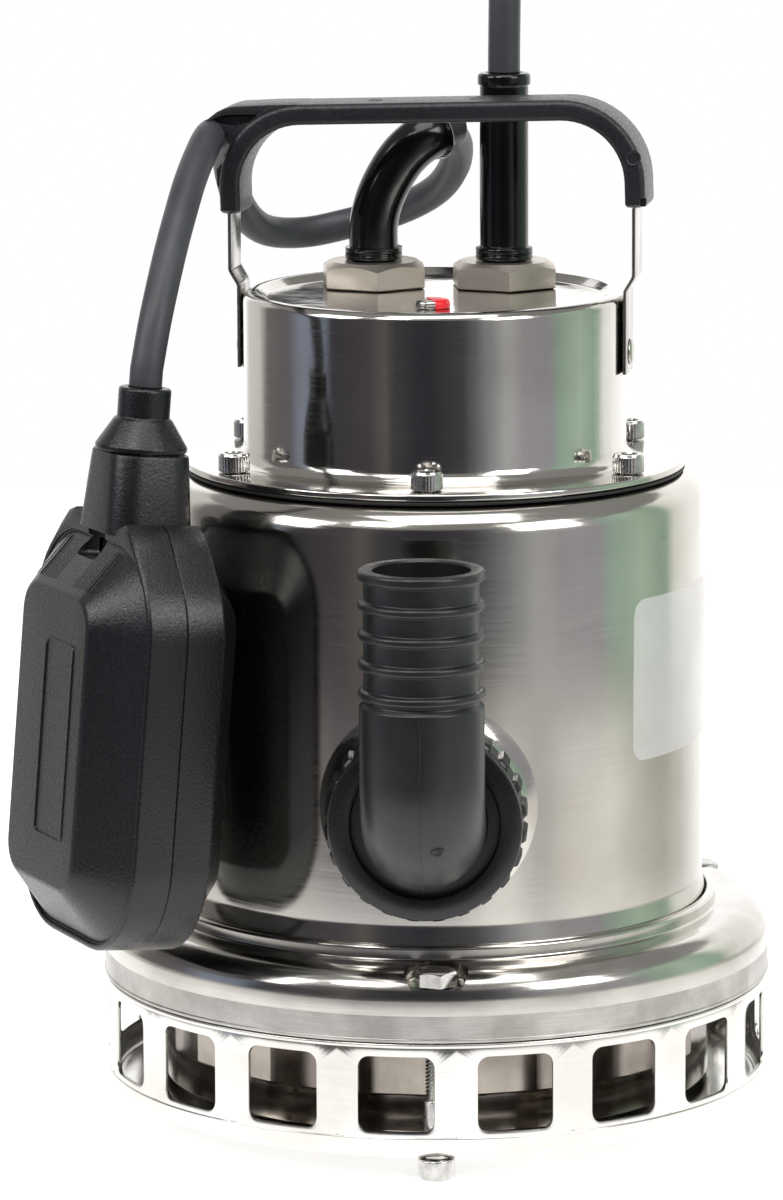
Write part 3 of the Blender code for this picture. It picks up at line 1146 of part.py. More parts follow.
def build_float(axis, hinge):
    """Float body in two halves, neck, nut, and the ball and switch inside."""
    frame = empty("float_frame", hinge, FLOAT_CENTRE - hinge.location, FLOAT_TURN)
    loft("float_front_shell", shell_rings(-1), "black plastic", frame)
    loft("float_rear_shell", shell_rings(1), "black plastic", frame)
    neck_z = FLOAT_HEIGHT / 2 + GAP
    neck_top = neck_z + NECK_HEIGHT
    rings = [at_height(rounded_rectangle(NECK_WIDTH, NECK_DEPTH, NECK_CORNER), neck_z),
             at_height(rounded_rectangle(NECK_TOP_WIDTH, NECK_TOP_DEPTH, NECK_CORNER), neck_top)]
    loft("float_neck", rings, "black plastic", frame)
    nut_z = neck_top + GAP
    collar_z = nut_z + FLOAT_NUT_HEIGHT
    end_z = collar_z + FLOAT_COLLAR_HEIGHT
    profile = [(0.0, end_z), (FLOAT_COLLAR_RADIUS, end_z), (FLOAT_COLLAR_RADIUS, collar_z),
               (FLOAT_NUT_RADIUS, nut_z + FLOAT_NUT_HEIGHT / 8), (FLOAT_NUT_RADIUS, nut_z), (0.0, nut_z)]
    turned("float_nut", profile, "black plastic", frame, SMALL_STEPS)
    bm = bmesh.new()
    bmesh.ops.create_icosphere(bm, subdivisions=2, radius=BALL_RADIUS)
    ball = finish_object("float_ball", bm, "satin steel", frame, 60.0)
    ball.location.z = -FLOAT_HEIGHT / 2 + FLOAT_WALL + GAP + BALL_RADIUS
    switch_top = FLOAT_HEIGHT / 2 - FLOAT_WALL - GAP
    outline = rounded_rectangle(SWITCH_WIDTH, SWITCH_DEPTH, GAP, 1)
    loft("float_switch", [at_height(outline, switch_top - SWITCH_HEIGHT), at_height(outline, switch_top)],
         "light plastic", frame)
    return float_matrix() @ Vector((0, 0, end_z + GAP)), float_matrix().to_3x3() @ Vector((0, 0, 1))


# ---- cords -------------------------------------------------------------------------------------------
def coil_points():
    """Points of the coil, from the end of its top layer inwards and outwards down to the floor."""
    pitch = 2 * CORD_RADIUS + COIL_AIR
    per_layer = COIL_TURNS / COIL_LAYERS
    outer = COIL_MEAN_RADIUS + pitch * per_layer / 2
    top_z = GAP + CORD_RADIUS + pitch * (COIL_LAYERS - 1)
    count = round(COIL_TURNS * COIL_POINTS_PER_TURN)
    points = []
    for i in range(count + 1):
        turns = COIL_TURNS * i / count
        layer = min(int(turns / per_layer), COIL_LAYERS - 1)
        within = turns - layer * per_layer
        inward = within if layer % 2 == 0 else per_layer - within
        radius = outer - pitch * inward
        nearest = round(turns / per_layer)
        level = layer
        if 0 < nearest < COIL_LAYERS and abs(turns - nearest * per_layer) < 0.25:
            level = nearest - 0.5 + (turns - nearest * per_layer) / 0.5
        angle = math.tau * turns
        points.append(Vector((COIL_CENTRE.x + radius * math.cos(angle),
                              COIL_CENTRE.y + radius * math.sin(angle), top_z - pitch * level)))
    return points


def straight_end(points, at_start):
    """A point one cord diameter beyond an end of the coil, square to its radius and level."""
    end = points[0] if at_start else points[-1]
    out = Vector((end.x - COIL_CENTRE.x, end.y - COIL_CENTRE.y, 0.0)).normalized()
    along = Vector((-out.y, out.x, 0.0))
    return end + along * (-2 * CORD_RADIUS if at_start else 2 * CORD_RADIUS), along


def least_gap(points, skip):
    """Least air between a cord and itself, measured between points more than `skip` apart."""
    least = math.inf
    for i, a in enumerate(points):
        for b in points[i + skip:]:
            least = min(least, (b - a).length_squared)
    return math.sqrt(least) - 2 * CORD_RADIUS


def build_power_cord(axis):
    """Power cable, its coil on the floor and the plug."""
    turns = coil_points()
    before, heading_in = straight_end(turns, True)
    after, heading_out = straight_end(turns, False)
    boot_end = Vector((POWER_GLAND_X, GLAND_Y, POWER_BOOT_TOP_Z + GAP))
    run = cord_points([boot_end, *POWER_ROUTE, before - heading_in * GAP], LONG_CORD_STEP,
                      Vector((0, 0, 1)), heading_in)
    cord("power_cable", run, axis)
    coil = [before, *turns, after]
    cord("power_coil", coil, axis, resolution=1)
    last = turns[-1]
    plug_place = Vector((last.x, last.y, 0.0)) + heading_out * PLUG_DISTANCE
    plug_place.z = GAP
    relief_start = PLUG_DISTANCE - PLUG_RADIUS - PLUG_RELIEF_LENGTH
    tail_end = Vector((last.x, last.y, PLUG_ENTRY_Z + GAP)) + heading_out * (relief_start - GAP)
    tail = cord_points([after + heading_out * GAP, tail_end], CORD_STEP / 2, heading_out, heading_out)
    cord("power_tail", tail, axis)
    azimuth = math.degrees(math.atan2(heading_out.y, heading_out.x))
    build_plug(axis, plug_place, azimuth)
    total = path_length(run) + path_length(coil) + path_length(tail)
    print(f"power cord length {total:.3f} m, least air in the coil"
          f" {least_gap(coil, COIL_POINTS_PER_TURN // 2) * 1000:.2f} mm")


def build_plug(axis, place, azimuth):
    """Angled mains plug lying on its back, with its strain relief and two pins."""
    frame = empty("plug_frame", axis, place, (0, 0, azimuth))
    edge = PLUG_HEIGHT / 10
    profile = [(0.0, PLUG_HEIGHT), (PLUG_RADIUS - edge, PLUG_HEIGHT), (PLUG_RADIUS, PLUG_HEIGHT - edge),
               (PLUG_RADIUS, edge), (PLUG_RADIUS - edge, 0.0), (0.0, 0.0)]
    plug = turned("power_plug", profile, "black plastic", frame, SMALL_STEPS)
    slim = [(y, z) for y, z in circle(PLUG_RELIEF_RADIUS - CORD_RADIUS / 3, TINY_STEPS)]
    wide = [(y, z) for y, z in circle(PLUG_RELIEF_RADIUS, TINY_STEPS)]
    relief = [[Vector((-PLUG_RADIUS - PLUG_RELIEF_LENGTH, y, PLUG_ENTRY_Z + z)) for y, z in slim],
              [Vector((-PLUG_RADIUS * 0.7, y, PLUG_ENTRY_Z + z)) for y, z in wide]]
    combine(plug, guide("plug_relief", [relief], frame), "UNION")
    pins = [drill(Vector((0.0, side * PIN_SPACING / 2)), PIN_RADIUS, PLUG_HEIGHT - edge,
                  PLUG_HEIGHT + PIN_LENGTH) for side in (-1, 1)]
    combine(plug, guide("plug_pins", pins, frame), "UNION")


def build_float_cable(axis, hinge, float_end, float_up):
    """Fixed loop from the boot to the clip, and the stretch that hangs from the clip to the float."""
    leaving = boot_heading()
    clip = Vector(CLIP_POINT)
    through = direction(LOOP_ROUTE[-1], DROP_ROUTE[0])
    loop = cord_points([Vector(BOOT_BEND[-1]) + leaving * GAP, *LOOP_ROUTE, clip - through * GAP], CORD_STEP,
                       leaving, through)
    cord("float_cable_loop", loop, axis)
    drop = cord_points([clip, *DROP_ROUTE, float_end], CORD_STEP, through, -float_up)
    cord("float_cable_drop", [point - hinge.location for point in drop], hinge)
    print(f"float cable length {path_length(loop) + path_length(drop):.3f} m")


def build_pump():
    """Build every piece round the pump's axis."""
    axis = empty("pump_axis", None, (PUMP_AXIS_X, PUMP_AXIS_Y, 0.0))
    build_strainer(axis)
    build_base_cover(axis)
    build_tie_bolts(axis)
    build_casing(axis)
    build_impeller(axis)
    build_seal(axis)
    build_shaft(axis)
    build_stator(axis)
    build_brackets(axis)
    holes = screw_hole_cutter(axis)
    build_housing(axis, holes)
    build_electrics(axis)
    build_jacket(axis, holes)
    build_gasket(axis)
    cover = build_motor_cover(axis, holes)
    build_cover_screws(axis)
    build_vent_screw(axis)
    build_glands(axis)
    build_boots(axis)
    build_outlet(axis)
    build_handle(axis, cover)
    hinge = empty("float_hinge", axis, CLIP_POINT)
    float_end, float_up = build_float(axis, hinge)
    build_float_cable(axis, hinge, float_end, float_up)
    build_power_cord(axis)


def main():
    """Clear the file and build the pump."""
    for old in list(bpy.data.objects):
        bpy.data.objects.remove(old, do_unlink=True)
    build_pump()


main()
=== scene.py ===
"""Looks of a submersible sump pump with a float switch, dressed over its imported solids.

Each sub-assembly of the pump is a class that holds its sizes and builds its own pieces. Lengths are metres
and angles degrees. Pieces are shaped round the motor's axis, with azimuths measured from the outlet's side
(-Y) towards +X, and are then moved to where that axis stands.
"""
from __future__ import annotations

import json
import logging
import math
from dataclasses import dataclass, field
from enum import Enum
from typing import Callable, Iterable, Sequence

import bmesh
import bpy
from mathutils import Matrix, Vector

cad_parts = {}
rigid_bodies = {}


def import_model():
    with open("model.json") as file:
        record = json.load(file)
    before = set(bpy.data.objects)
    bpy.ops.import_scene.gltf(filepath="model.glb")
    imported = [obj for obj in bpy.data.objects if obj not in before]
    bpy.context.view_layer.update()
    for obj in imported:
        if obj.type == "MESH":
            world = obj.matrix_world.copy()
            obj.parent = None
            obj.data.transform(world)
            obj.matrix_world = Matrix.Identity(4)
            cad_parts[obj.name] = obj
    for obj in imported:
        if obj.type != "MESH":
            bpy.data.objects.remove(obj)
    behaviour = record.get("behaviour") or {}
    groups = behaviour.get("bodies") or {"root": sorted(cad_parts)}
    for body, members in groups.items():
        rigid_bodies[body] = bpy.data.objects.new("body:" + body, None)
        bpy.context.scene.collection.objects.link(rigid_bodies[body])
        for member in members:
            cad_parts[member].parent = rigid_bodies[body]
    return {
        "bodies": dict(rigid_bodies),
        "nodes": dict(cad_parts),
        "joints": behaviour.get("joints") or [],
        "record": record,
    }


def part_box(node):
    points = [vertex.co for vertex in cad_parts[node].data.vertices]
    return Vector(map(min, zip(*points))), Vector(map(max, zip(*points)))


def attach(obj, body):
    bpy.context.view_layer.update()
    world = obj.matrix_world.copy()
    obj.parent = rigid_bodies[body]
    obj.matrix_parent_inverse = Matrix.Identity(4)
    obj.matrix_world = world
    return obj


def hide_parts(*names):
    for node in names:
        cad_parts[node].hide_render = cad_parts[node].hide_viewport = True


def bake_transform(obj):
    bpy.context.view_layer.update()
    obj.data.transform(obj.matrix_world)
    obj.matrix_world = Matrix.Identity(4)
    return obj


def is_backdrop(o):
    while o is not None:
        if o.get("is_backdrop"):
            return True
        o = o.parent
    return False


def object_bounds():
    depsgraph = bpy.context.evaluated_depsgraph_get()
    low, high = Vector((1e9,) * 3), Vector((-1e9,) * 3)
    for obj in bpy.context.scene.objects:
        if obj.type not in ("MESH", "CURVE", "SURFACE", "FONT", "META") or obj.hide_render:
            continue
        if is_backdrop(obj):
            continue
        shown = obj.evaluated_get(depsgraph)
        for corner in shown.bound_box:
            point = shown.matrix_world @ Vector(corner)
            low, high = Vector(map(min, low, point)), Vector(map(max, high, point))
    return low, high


LOG = logging.getLogger("sump_pump")
WELD = 1e-6             # vertices closer than this are one
TINY_AIR = 0.0003       # air between two pieces that touch
SHELL_STEPS = 144       # sides of the widest turned pieces; eight to each strainer window
MEDIUM_STEPS = 64
SMALL_STEPS = 36
FINE_STEPS = 72         # sides of hexagons, knurls and swept tubes, a multiple of six
CORD_SIDES = 24
MM = 0.001

Pair = tuple[float, float]
Triple = tuple[float, float, float]
Four = tuple[float, float, float, float]
Shape = bmesh.types.BMesh
Ring = list[Vector]
Profile = list[Pair]


class Body(Enum):
    """Moving groups of the pump."""

    PUMP = "pump"
    ROTOR = "rotor"
    UNION_NUT = "union_nut"
    ELBOW = "elbow"
    FLOAT = "float"
    BALL = "ball"


class Slot(Enum):
    """Material slots of the record."""

    POLISHED = "polished_steel"
    SATIN = "satin_steel"
    ZINC = "zinc"
    NICKEL = "nickel"
    CAST = "cast_aluminium"
    LAMINATION = "lamination"
    COPPER = "copper_wire"
    BLACK = "black_plastic"
    LIGHT = "light_plastic"
    GASKET = "gasket"
    GLOSS_RUBBER = "gloss_rubber"
    CABLE = "cable_rubber"
    CERAMIC = "seal_ceramic"


# ---- materials ----
def srgb(code: str) -> Four:
    """Turn a hex colour into linear light.

    Args:
        code: six hex digits after a hash, as a screen shows the colour.

    Returns:
        Linear red, green, blue and an alpha of 1.
    """
    parts = [int(code[i:i + 2], 16) / 255 for i in (1, 3, 5)]
    linear = [c / 12.92 if c <= 0.04045 else ((c + 0.055) / 1.055) ** 2.4 for c in parts]
    return (linear[0], linear[1], linear[2], 1.0)


def add_node(tree: bpy.types.NodeTree, kind: str, settings: dict | None = None,
             inputs: dict | None = None, links: dict | None = None) -> bpy.types.Node:
    """Add one shader node with its settings, input values and incoming links.

    Args:
        tree: node tree that gets the node.
        kind: the node's type name.
        settings: attributes to set on the node.
        inputs: input sockets and their values.
        links: input sockets, each with the (node, output) that feeds it.

    Returns:
        The new node.
    """
    node = tree.nodes.new(kind)
    for name, value in (settings or {}).items():
        setattr(node, name, value)
    for key, value in (inputs or {}).items():
        node.inputs[key].default_value = value
    for key, (source, output) in (links or {}).items():
        tree.links.new(source.outputs[output], node.inputs[key])
    return node


def set_ramp(node: bpy.types.Node, stops: Sequence[tuple[float, Four]]) -> None:
    """Give a colour ramp its stops.

    Args:
        node: the ramp node.
        stops: position and linear colour of each stop, in rising order.
    """
    elements = node.color_ramp.elements
    while len(elements) > 2:
        elements.remove(elements[-1])
    elements[0].position, elements[0].color = stops[0]
    elements[1].position, elements[1].color = stops[-1]
    for position, colour in stops[1:-1]:
        elements.new(position).color = colour


class Grain(Enum):
    """Surface patterns, as stretch of the noise along X, Y and Z."""

    ROUND = (0.03, 0.03, 1.0)       # fine rings left by turning or polishing round the axis
    UPRIGHT = (1.0, 1.0, 0.05)      # upright waves left by drawing a cup
    EVEN = (1.0, 1.0, 1.0)          # blasted, cast or eroded grain


@dataclass(frozen=True)
class Finish:
    """One finish, made into a material the first time it is asked for."""

    name: str
    base: str
    shade: str
    roughness: float
    rough_span: float = 0.08        # how far the gloss varies with the grain
    metallic: float = 0.0
    grain: Grain = Grain.EVEN
    grain_mm: float = 0.6           # width and depth of the grain
    bump_mm: float = 0.02
    cloud_mm: float = 30.0          # width of the soft patches of colour
    wave_mm: float = 0.0            # width of upright waves in drawn sheet
    wave_depth_mm: float = 0.0
    ior: float | None = None
    alpha: float = 1.0
    centre: Triple = (0.0, 0.0, 0.0)
    speckle: float = 0.0            # how strongly fine grain shows in the colour

    def material(self) -> bpy.types.Material:
        """Return the finish's material, built on first use."""
        made = bpy.data.materials.get(self.name)
        return made if made else self._build()

    def _noise(self, tree: bpy.types.NodeTree, size_mm: float, stretch: Triple,
               detail: float, roughness: float = 0.5) -> bpy.types.Node:
        """Add noise with features of a real size on Object coordinates.

        Args:
            tree: node tree of the material.
            size_mm: width of a feature.
            stretch: scale factors along the axes.
            detail: octaves of finer noise.
            roughness: weight of the finer octaves.

        Returns:
            The noise node.
        """
        place = add_node(tree, "ShaderNodeTexCoord")
        mapping = add_node(tree, "ShaderNodeMapping", inputs={
            "Location": tuple(-c * s for c, s in zip(self.centre, stretch)), "Scale": stretch},
            links={"Vector": (place, "Object")})
        return add_node(tree, "ShaderNodeTexNoise", inputs={
            "Scale": 1 / (size_mm * MM), "Detail": detail, "Roughness": roughness},
            links={"Vector": (mapping, "Vector")})

    def _build(self) -> bpy.types.Material:
        """Make the material: clouded colour, uneven gloss and a fine grain."""
        made = bpy.data.materials.new(self.name)
        made.use_nodes = True
        tree = made.node_tree
        tree.nodes.clear()
        inputs = {"Metallic": self.metallic, "Alpha": self.alpha}
        if self.ior is not None:
            inputs["IOR"] = self.ior
        shader = add_node(tree, "ShaderNodeBsdfPrincipled", inputs=inputs)
        cloud = self._noise(tree, self.cloud_mm, Grain.EVEN.value, 4.0)
        grain = self._noise(tree, self.grain_mm, self.grain.value, 3.0, 0.6)
        colour = add_node(tree, "ShaderNodeValToRGB", links={"Fac": (cloud, "Fac")})
        set_ramp(colour, [(0.36, srgb(self.shade)), (0.62, srgb(self.base))])
        tint = colour
        if self.speckle:
            span = add_node(tree, "ShaderNodeMapRange", inputs={
                "From Min": 0.35, "From Max": 0.65, "To Min": 1 - self.speckle, "To Max": 1 + self.speckle},
                links={"Value": (grain, "Fac")})
            tint = add_node(tree, "ShaderNodeMix", {"data_type": "RGBA", "blend_type": "MULTIPLY"},
                            {"Factor": 1.0}, {"A": (colour, "Color"), "B": (span, "Result")})
        tree.links.new(tint.outputs["Result" if self.speckle else "Color"], shader.inputs["Base Color"])
        gloss = add_node(tree, "ShaderNodeMapRange", inputs={
            "From Min": 0.35, "From Max": 0.65, "To Min": max(0.02, self.roughness - self.rough_span / 2),
            "To Max": self.roughness + self.rough_span / 2}, links={"Value": (grain, "Fac")})
        tree.links.new(gloss.outputs["Result"], shader.inputs["Roughness"])
        bump = add_node(tree, "ShaderNodeBump", inputs={"Strength": 1.0, "Distance": self.bump_mm * MM},
                        links={"Height": (grain, "Fac")})
        if self.wave_depth_mm:
            wave = self._noise(tree, self.wave_mm, Grain.UPRIGHT.value, 1.0)
            bump = add_node(tree, "ShaderNodeBump", inputs={
                "Strength": 1.0, "Distance": self.wave_depth_mm * MM},
                links={"Height": (wave, "Fac"), "Normal": (bump, "Normal")})
        tree.links.new(bump.outputs["Normal"], shader.inputs["Normal"])
        add_node(tree, "ShaderNodeOutputMaterial", links={"Surface": (shader, "BSDF")})
        return made


@dataclass(frozen=True)
class Finishes:
    """Every finish on the pump; `centre` is the motor's axis, for the patterns that run round it."""

    centre: Triple

    def mirror_steel(self) -> Finish:
        """Bright annealed stainless sheet, drawn: mirror-like with soft upright waves."""
        return Finish("bright_annealed_stainless", "#D2CFC9", "#C2BEB7", 0.14, 0.08, 1.0, Grain.ROUND,
                      0.5, 0.0020, 45.0, 9.0, 0.08, centre=self.centre)

    def cap_steel(self) -> Finish:
        """The same sheet after a deep draw: stronger upright waves that break up what it mirrors."""
        return Finish("deep_drawn_stainless", "#D0CDC8", "#BFBBB5", 0.12, 0.10, 1.0, Grain.ROUND,
                      0.5, 0.0025, 35.0, 6.0, 0.10, centre=self.centre)

    def satin_steel(self) -> Finish:
        """Ground stainless wall of the base: pale, with short rings round the axis."""
        return Finish("ground_stainless", "#C4C1BC", "#A9A5A0", 0.34, 0.16, 1.0, Grain.ROUND,
                      0.35, 0.006, 12.0, centre=self.centre, speckle=0.12)

    def base_steel(self) -> Finish:
        """Base cover: polished on top, ground to a speckled satin band above the seam."""
        return Finish("polished_and_ground_stainless", "#CFCCC6", "#BDB9B3", 0.16, 0.08, 1.0, Grain.ROUND,
                      0.5, 0.002, 20.0, centre=self.centre)

    def pressed_steel(self) -> Finish:
        """Polished strip of the strainer: bright, flat and slightly milky."""
        return Finish("polished_strainer_stainless", "#E6E4E0", "#D9D6D0", 0.2, 0.08, 1.0, Grain.ROUND,
                      0.5, 0.002, 25.0, centre=self.centre)

    def shadow_steel(self) -> Finish:
        """Drawn steel of the casing inside the strainer: brownish grey and soft, its colour darkened as
        painted shade from the strainer round it.
        """
        return Finish("drawn_casing_stainless_painted_shade", "#A39B92", "#7F776F", 0.16, 0.08, 1.0, Grain.UPRIGHT,
                      4.0, 0.01, 20.0, 8.0, 0.05, centre=self.centre)

    def strip_steel(self) -> Finish:
        """Brushed stainless strip of the handle and its rivets."""
        return Finish("brushed_strip_stainless", "#C9C6C0", "#AFABA5", 0.24, 0.12, 1.0, Grain.UPRIGHT,
                      0.4, 0.003, 14.0)

    def zinc(self) -> Finish:
        """Bright zinc on screws and bolts: cool, slightly mottled."""
        return Finish("bright_zinc_plate", "#D6D4D0", "#B9B7B3", 0.22, 0.12, 1.0, Grain.EVEN,
                      0.5, 0.006, 3.0)

    def nickel(self) -> Finish:
        """Satin nickel on turned brass: warm grey with a silky gloss."""
        return Finish("satin_nickel_plate", "#D6CEC3", "#CDC5BA", 0.36, 0.10, 1.0, Grain.EVEN,
                      0.35, 0.003, 14.0, speckle=0.03)

    def lacquer(self) -> Finish:
        """Red sealing lacquer dabbed on the vent screw: thick and glossy."""
        return Finish("red_sealing_lacquer", "#E0222C", "#C4121E", 0.28, 0.1, grain_mm=1.5, bump_mm=0.12,
                      cloud_mm=2.0, ior=1.48)

    def moulded_black(self) -> Finish:
        """Polypropylene of the grip, moulded in an eroded tool: black with a fine leathery grain."""
        return Finish("eroded_black_polypropylene", "#18191D", "#131418", 0.38, 0.16, grain_mm=0.8,
                      bump_mm=0.14, cloud_mm=22.0, ior=1.49)

    def float_black(self) -> Finish:
        """Polypropylene of the float: blacker than the grip, glossy on the tops of its grain."""
        return Finish("spark_eroded_black_polypropylene", "#0D0E11", "#0A0B0D", 0.30, 0.12, grain_mm=0.7,
                      bump_mm=0.12, cloud_mm=22.0, ior=1.50)

    def elbow_black(self) -> Finish:
        """Glass-filled polyamide of the elbow: black, silky, with a slight grey bloom."""
        return Finish("glass_filled_black_polyamide", "#17171A", "#121215", 0.36, 0.12, grain_mm=0.35,
                      bump_mm=0.02, cloud_mm=9.0, ior=1.53)

    def nut_black(self) -> Finish:
        """Polyamide of the union nut: deep black with a semi-gloss face."""
        return Finish("semi_gloss_black_polyamide", "#101012", "#0C0C0E", 0.3, 0.1, grain_mm=0.6,
                      bump_mm=0.015, cloud_mm=10.0, ior=1.53)

    def boot_rubber(self) -> Finish:
        """Moulded rubber of the cable boots: very dark and glossy."""
        return Finish("glossy_black_rubber", "#09090A", "#060607", 0.16, 0.06, grain_mm=1.2,
                      bump_mm=0.02, cloud_mm=8.0, ior=1.52)

    def cable_rubber(self) -> Finish:
        """Chloroprene sheath of the cables: dark grey and matt, with a faint bloom."""
        return Finish("matt_chloroprene_sheath", "#36373C", "#2C2D31", 0.46, 0.1, grain_mm=0.5,
                      bump_mm=0.02, cloud_mm=15.0, ior=1.50)

    def gasket(self) -> Finish:
        """Nitrile rubber of gaskets and seals: plain matt black."""
        return Finish("matt_nitrile_rubber", "#161616", "#101010", 0.6, 0.1, bump_mm=0.02, ior=1.52)

    def film(self) -> Finish:
        """Clear polyester film of the blank sticker: thin, slightly milky, glossy."""
        return Finish("clear_polyester_film", "#F2F2F2", "#E6E6E8", 0.22, 0.06, grain_mm=2.0, bump_mm=0.004,
                      cloud_mm=30.0, ior=1.57, alpha=0.16)

    def cast_aluminium(self) -> Finish:
        """Die-cast aluminium of the brackets: pale grey with a sandy skin."""
        return Finish("die_cast_aluminium", "#B4B5B6", "#9A9B9D", 0.5, 0.15, 1.0, grain_mm=0.8, bump_mm=0.05)

    def lamination(self) -> Finish:
        """Stacked electrical sheet: dark, layered every half millimetre."""
        return Finish("stacked_electrical_sheet", "#55565A", "#3C3D40", 0.5, 0.2, 1.0, Grain.ROUND, 0.5, 0.08)

    def copper(self) -> Finish:
        """Lacquered copper wire of the end windings: warm and glossy."""
        return Finish("lacquered_copper_wire", "#B4622F", "#8C4620", 0.3, 0.15, 1.0, Grain.ROUND, 0.9, 0.25)

    def light_plastic(self) -> Finish:
        """Cream thermoplastic of terminal plate and switch block."""
        return Finish("cream_polyester_moulding", "#CFC8B8", "#BDB6A6", 0.45, 0.1, bump_mm=0.015, ior=1.5)

    def ceramic(self) -> Finish:
        """Lapped alumina of the seal seat: ivory and smooth."""
        return Finish("lapped_alumina", "#DDD8CC", "#CFC9BC", 0.25, 0.06, bump_mm=0.004, ior=1.7)


# ---- shaping ----
def polar(radius: float, azimuth: float, z: float = 0.0) -> Vector:
    """Point at a radius and azimuth round the axis, azimuths from -Y towards +X."""
    angle = math.radians(azimuth)
    return Vector((radius * math.sin(angle), -radius * math.cos(angle), z))


def spun(degrees: float, axis: str = "Z") -> Matrix:
    """Turn about one of the axes."""
    return Matrix.Rotation(math.radians(degrees), 4, axis)


def softened(corners: Sequence[Triple], steps: int = 6) -> Profile:
    """Round the corners of an open line.

    Args:
        corners: each corner's two coordinates and its rounding radius; the ends take 0.
        steps: edges in each rounding.

    Returns:
        Points of the rounded line.
    """
    line: Profile = [corners[0][:2]]
    for before, (x, z, radius), after in zip(corners, corners[1:], corners[2:]):
        here = Vector((x, z))
        back = (Vector(before[:2]) - here).normalized()
        ahead = (Vector(after[:2]) - here).normalized()
        half = back.angle(ahead, math.pi) / 2
        if radius <= 0.0 or half > math.pi / 2 - 1e-3:
            line.append((x, z))
            continue
        reach = radius / math.tan(half)
        centre = here + (back + ahead).normalized() * (radius / math.sin(half))
        start = here + back * reach - centre
        end = here + ahead * reach - centre
        turn = start.angle_signed(end)
        for i in range(steps + 1):
            spoke = start.copy()
            spoke.rotate(Matrix.Rotation(-turn * i / steps, 2))
            line.append(tuple(centre + spoke))
    line.append(corners[-1][:2])
    return line


def turned(profile: Profile, steps: int = MEDIUM_STEPS, closed: bool = False) -> Shape:
    """Turn a line of (radius, height) points round the Z axis.

    Args:
        profile: points of the section's outline.
        steps: sides of the turned piece.
        closed: whether the line's last point joins its first.

    Returns:
        The turned shape, faces outwards.
    """
    bm = bmesh.new()
    points = [bm.verts.new((r, 0.0, z)) for r, z in profile]
    pairs = list(zip(points, points[1:] + points[:1] if closed else points[1:]))
    line = [bm.edges.new(pair) for pair in pairs]
    bmesh.ops.spin(bm, geom=[*points, *line], cent=(0, 0, 0), axis=(0, 0, 1), angle=math.tau, steps=steps,
                   use_merge=True, use_duplicate=False)
    bmesh.ops.remove_doubles(bm, verts=bm.verts, dist=WELD)
    bmesh.ops.recalc_face_normals(bm, faces=bm.faces)
    return bm


def round_ring(radius: float, z: float = 0.0, count: int = SMALL_STEPS) -> Ring:
    """Points of a level circle round the origin."""
    return [Vector((radius * math.cos(math.tau * i / count), radius * math.sin(math.tau * i / count), z))
            for i in range(count)]


def hex_ring(flats: float, z: float = 0.0, count: int = SMALL_STEPS) -> Ring:
    """Points of a level hexagon, `flats` across, at the same bearings as a circle's."""
    ring = []
    for i in range(count):
        bearing = math.tau * i / count
        off = (bearing + math.pi / 6) % (math.pi / 3) - math.pi / 6
        radius = flats / 2 / math.cos(off)
        ring.append(Vector((radius * math.cos(bearing), radius * math.sin(bearing), z)))
    return ring


def box_ring(width: float, height: float, corner: float, corner_steps: int = 6) -> list[Pair]:
    """Outline of a rectangle with rounded corners, counter-clockwise from its right-hand side."""
    outline = []
    for quarter, (sx, sy) in enumerate(((1, 1), (-1, 1), (-1, -1), (1, -1))):
        for i in range(corner_steps + 1):
            angle = math.radians(90 * (quarter + i / corner_steps))
            outline.append((sx * (width / 2 - corner) + corner * math.cos(angle),
                            sy * (height / 2 - corner) + corner * math.sin(angle)))
    return outline


def skinned(rings: Sequence[Ring], joined: bool = False) -> Shape:
    """Draw a skin over rings by extruding each from the one before.

    Args:
        rings: outlines with the same number of points.
        joined: whether the last ring joins the first, as round a tube's two walls; otherwise both
            ends are closed with a face.

    Returns:
        The skin, faces outwards.
    """
    bm = bmesh.new()
    first = [bm.verts.new(point) for point in rings[0]]
    edges = [bm.edges.new(pair) for pair in zip(first, first[1:] + first[:1])]
    loop = first
    start_edges = list(edges)
    for ring in rings[1:]:
        made = bmesh.ops.extrude_edge_only(bm, edges=edges)["geom"]
        fresh = {v for v in made if isinstance(v, bmesh.types.BMVert)}
        edges = [e for e in made if isinstance(e, bmesh.types.BMEdge)
                 and all(v in fresh for v in e.verts)]
        above = []
        for vert, point in zip(loop, ring):
            twin = next(e.other_vert(vert) for e in vert.link_edges if e.other_vert(vert) in fresh)
            twin.co = point
            above.append(twin)
        loop = above
    if joined:
        bmesh.ops.bridge_loops(bm, edges=[*start_edges, *edges])
    else:
        for end in (start_edges, edges):
            bmesh.ops.contextual_create(bm, geom=end)
    bmesh.ops.remove_doubles(bm, verts=bm.verts, dist=WELD)
    bmesh.ops.recalc_face_normals(bm, faces=bm.faces)
    return bm


def bent_bar(line: Profile, section: Profile, end_scale: float = 1.0) -> Shape:
    """Bar of one flat section that follows a line in the XZ plane.

    Args:
        line: the bar's middle line.
        section: outline of the section, across the line and along Y.
        end_scale: size of the two end sections over that of the others.

    Returns:
        The bar, faces outwards.
    """
    rings, last = [], len(line) - 1
    for i, (x, z) in enumerate(line):
        ahead, behind = line[min(i + 1, last)], line[max(i - 1, 0)]
        along = Vector((ahead[0] - behind[0], 0, ahead[1] - behind[1])).normalized()
        scale = end_scale if i in (0, last) else 1.0
        rings.append([Vector((x - along.z * a * scale, b * scale, z + along.x * a * scale))
                      for a, b in section])
    return skinned(rings)


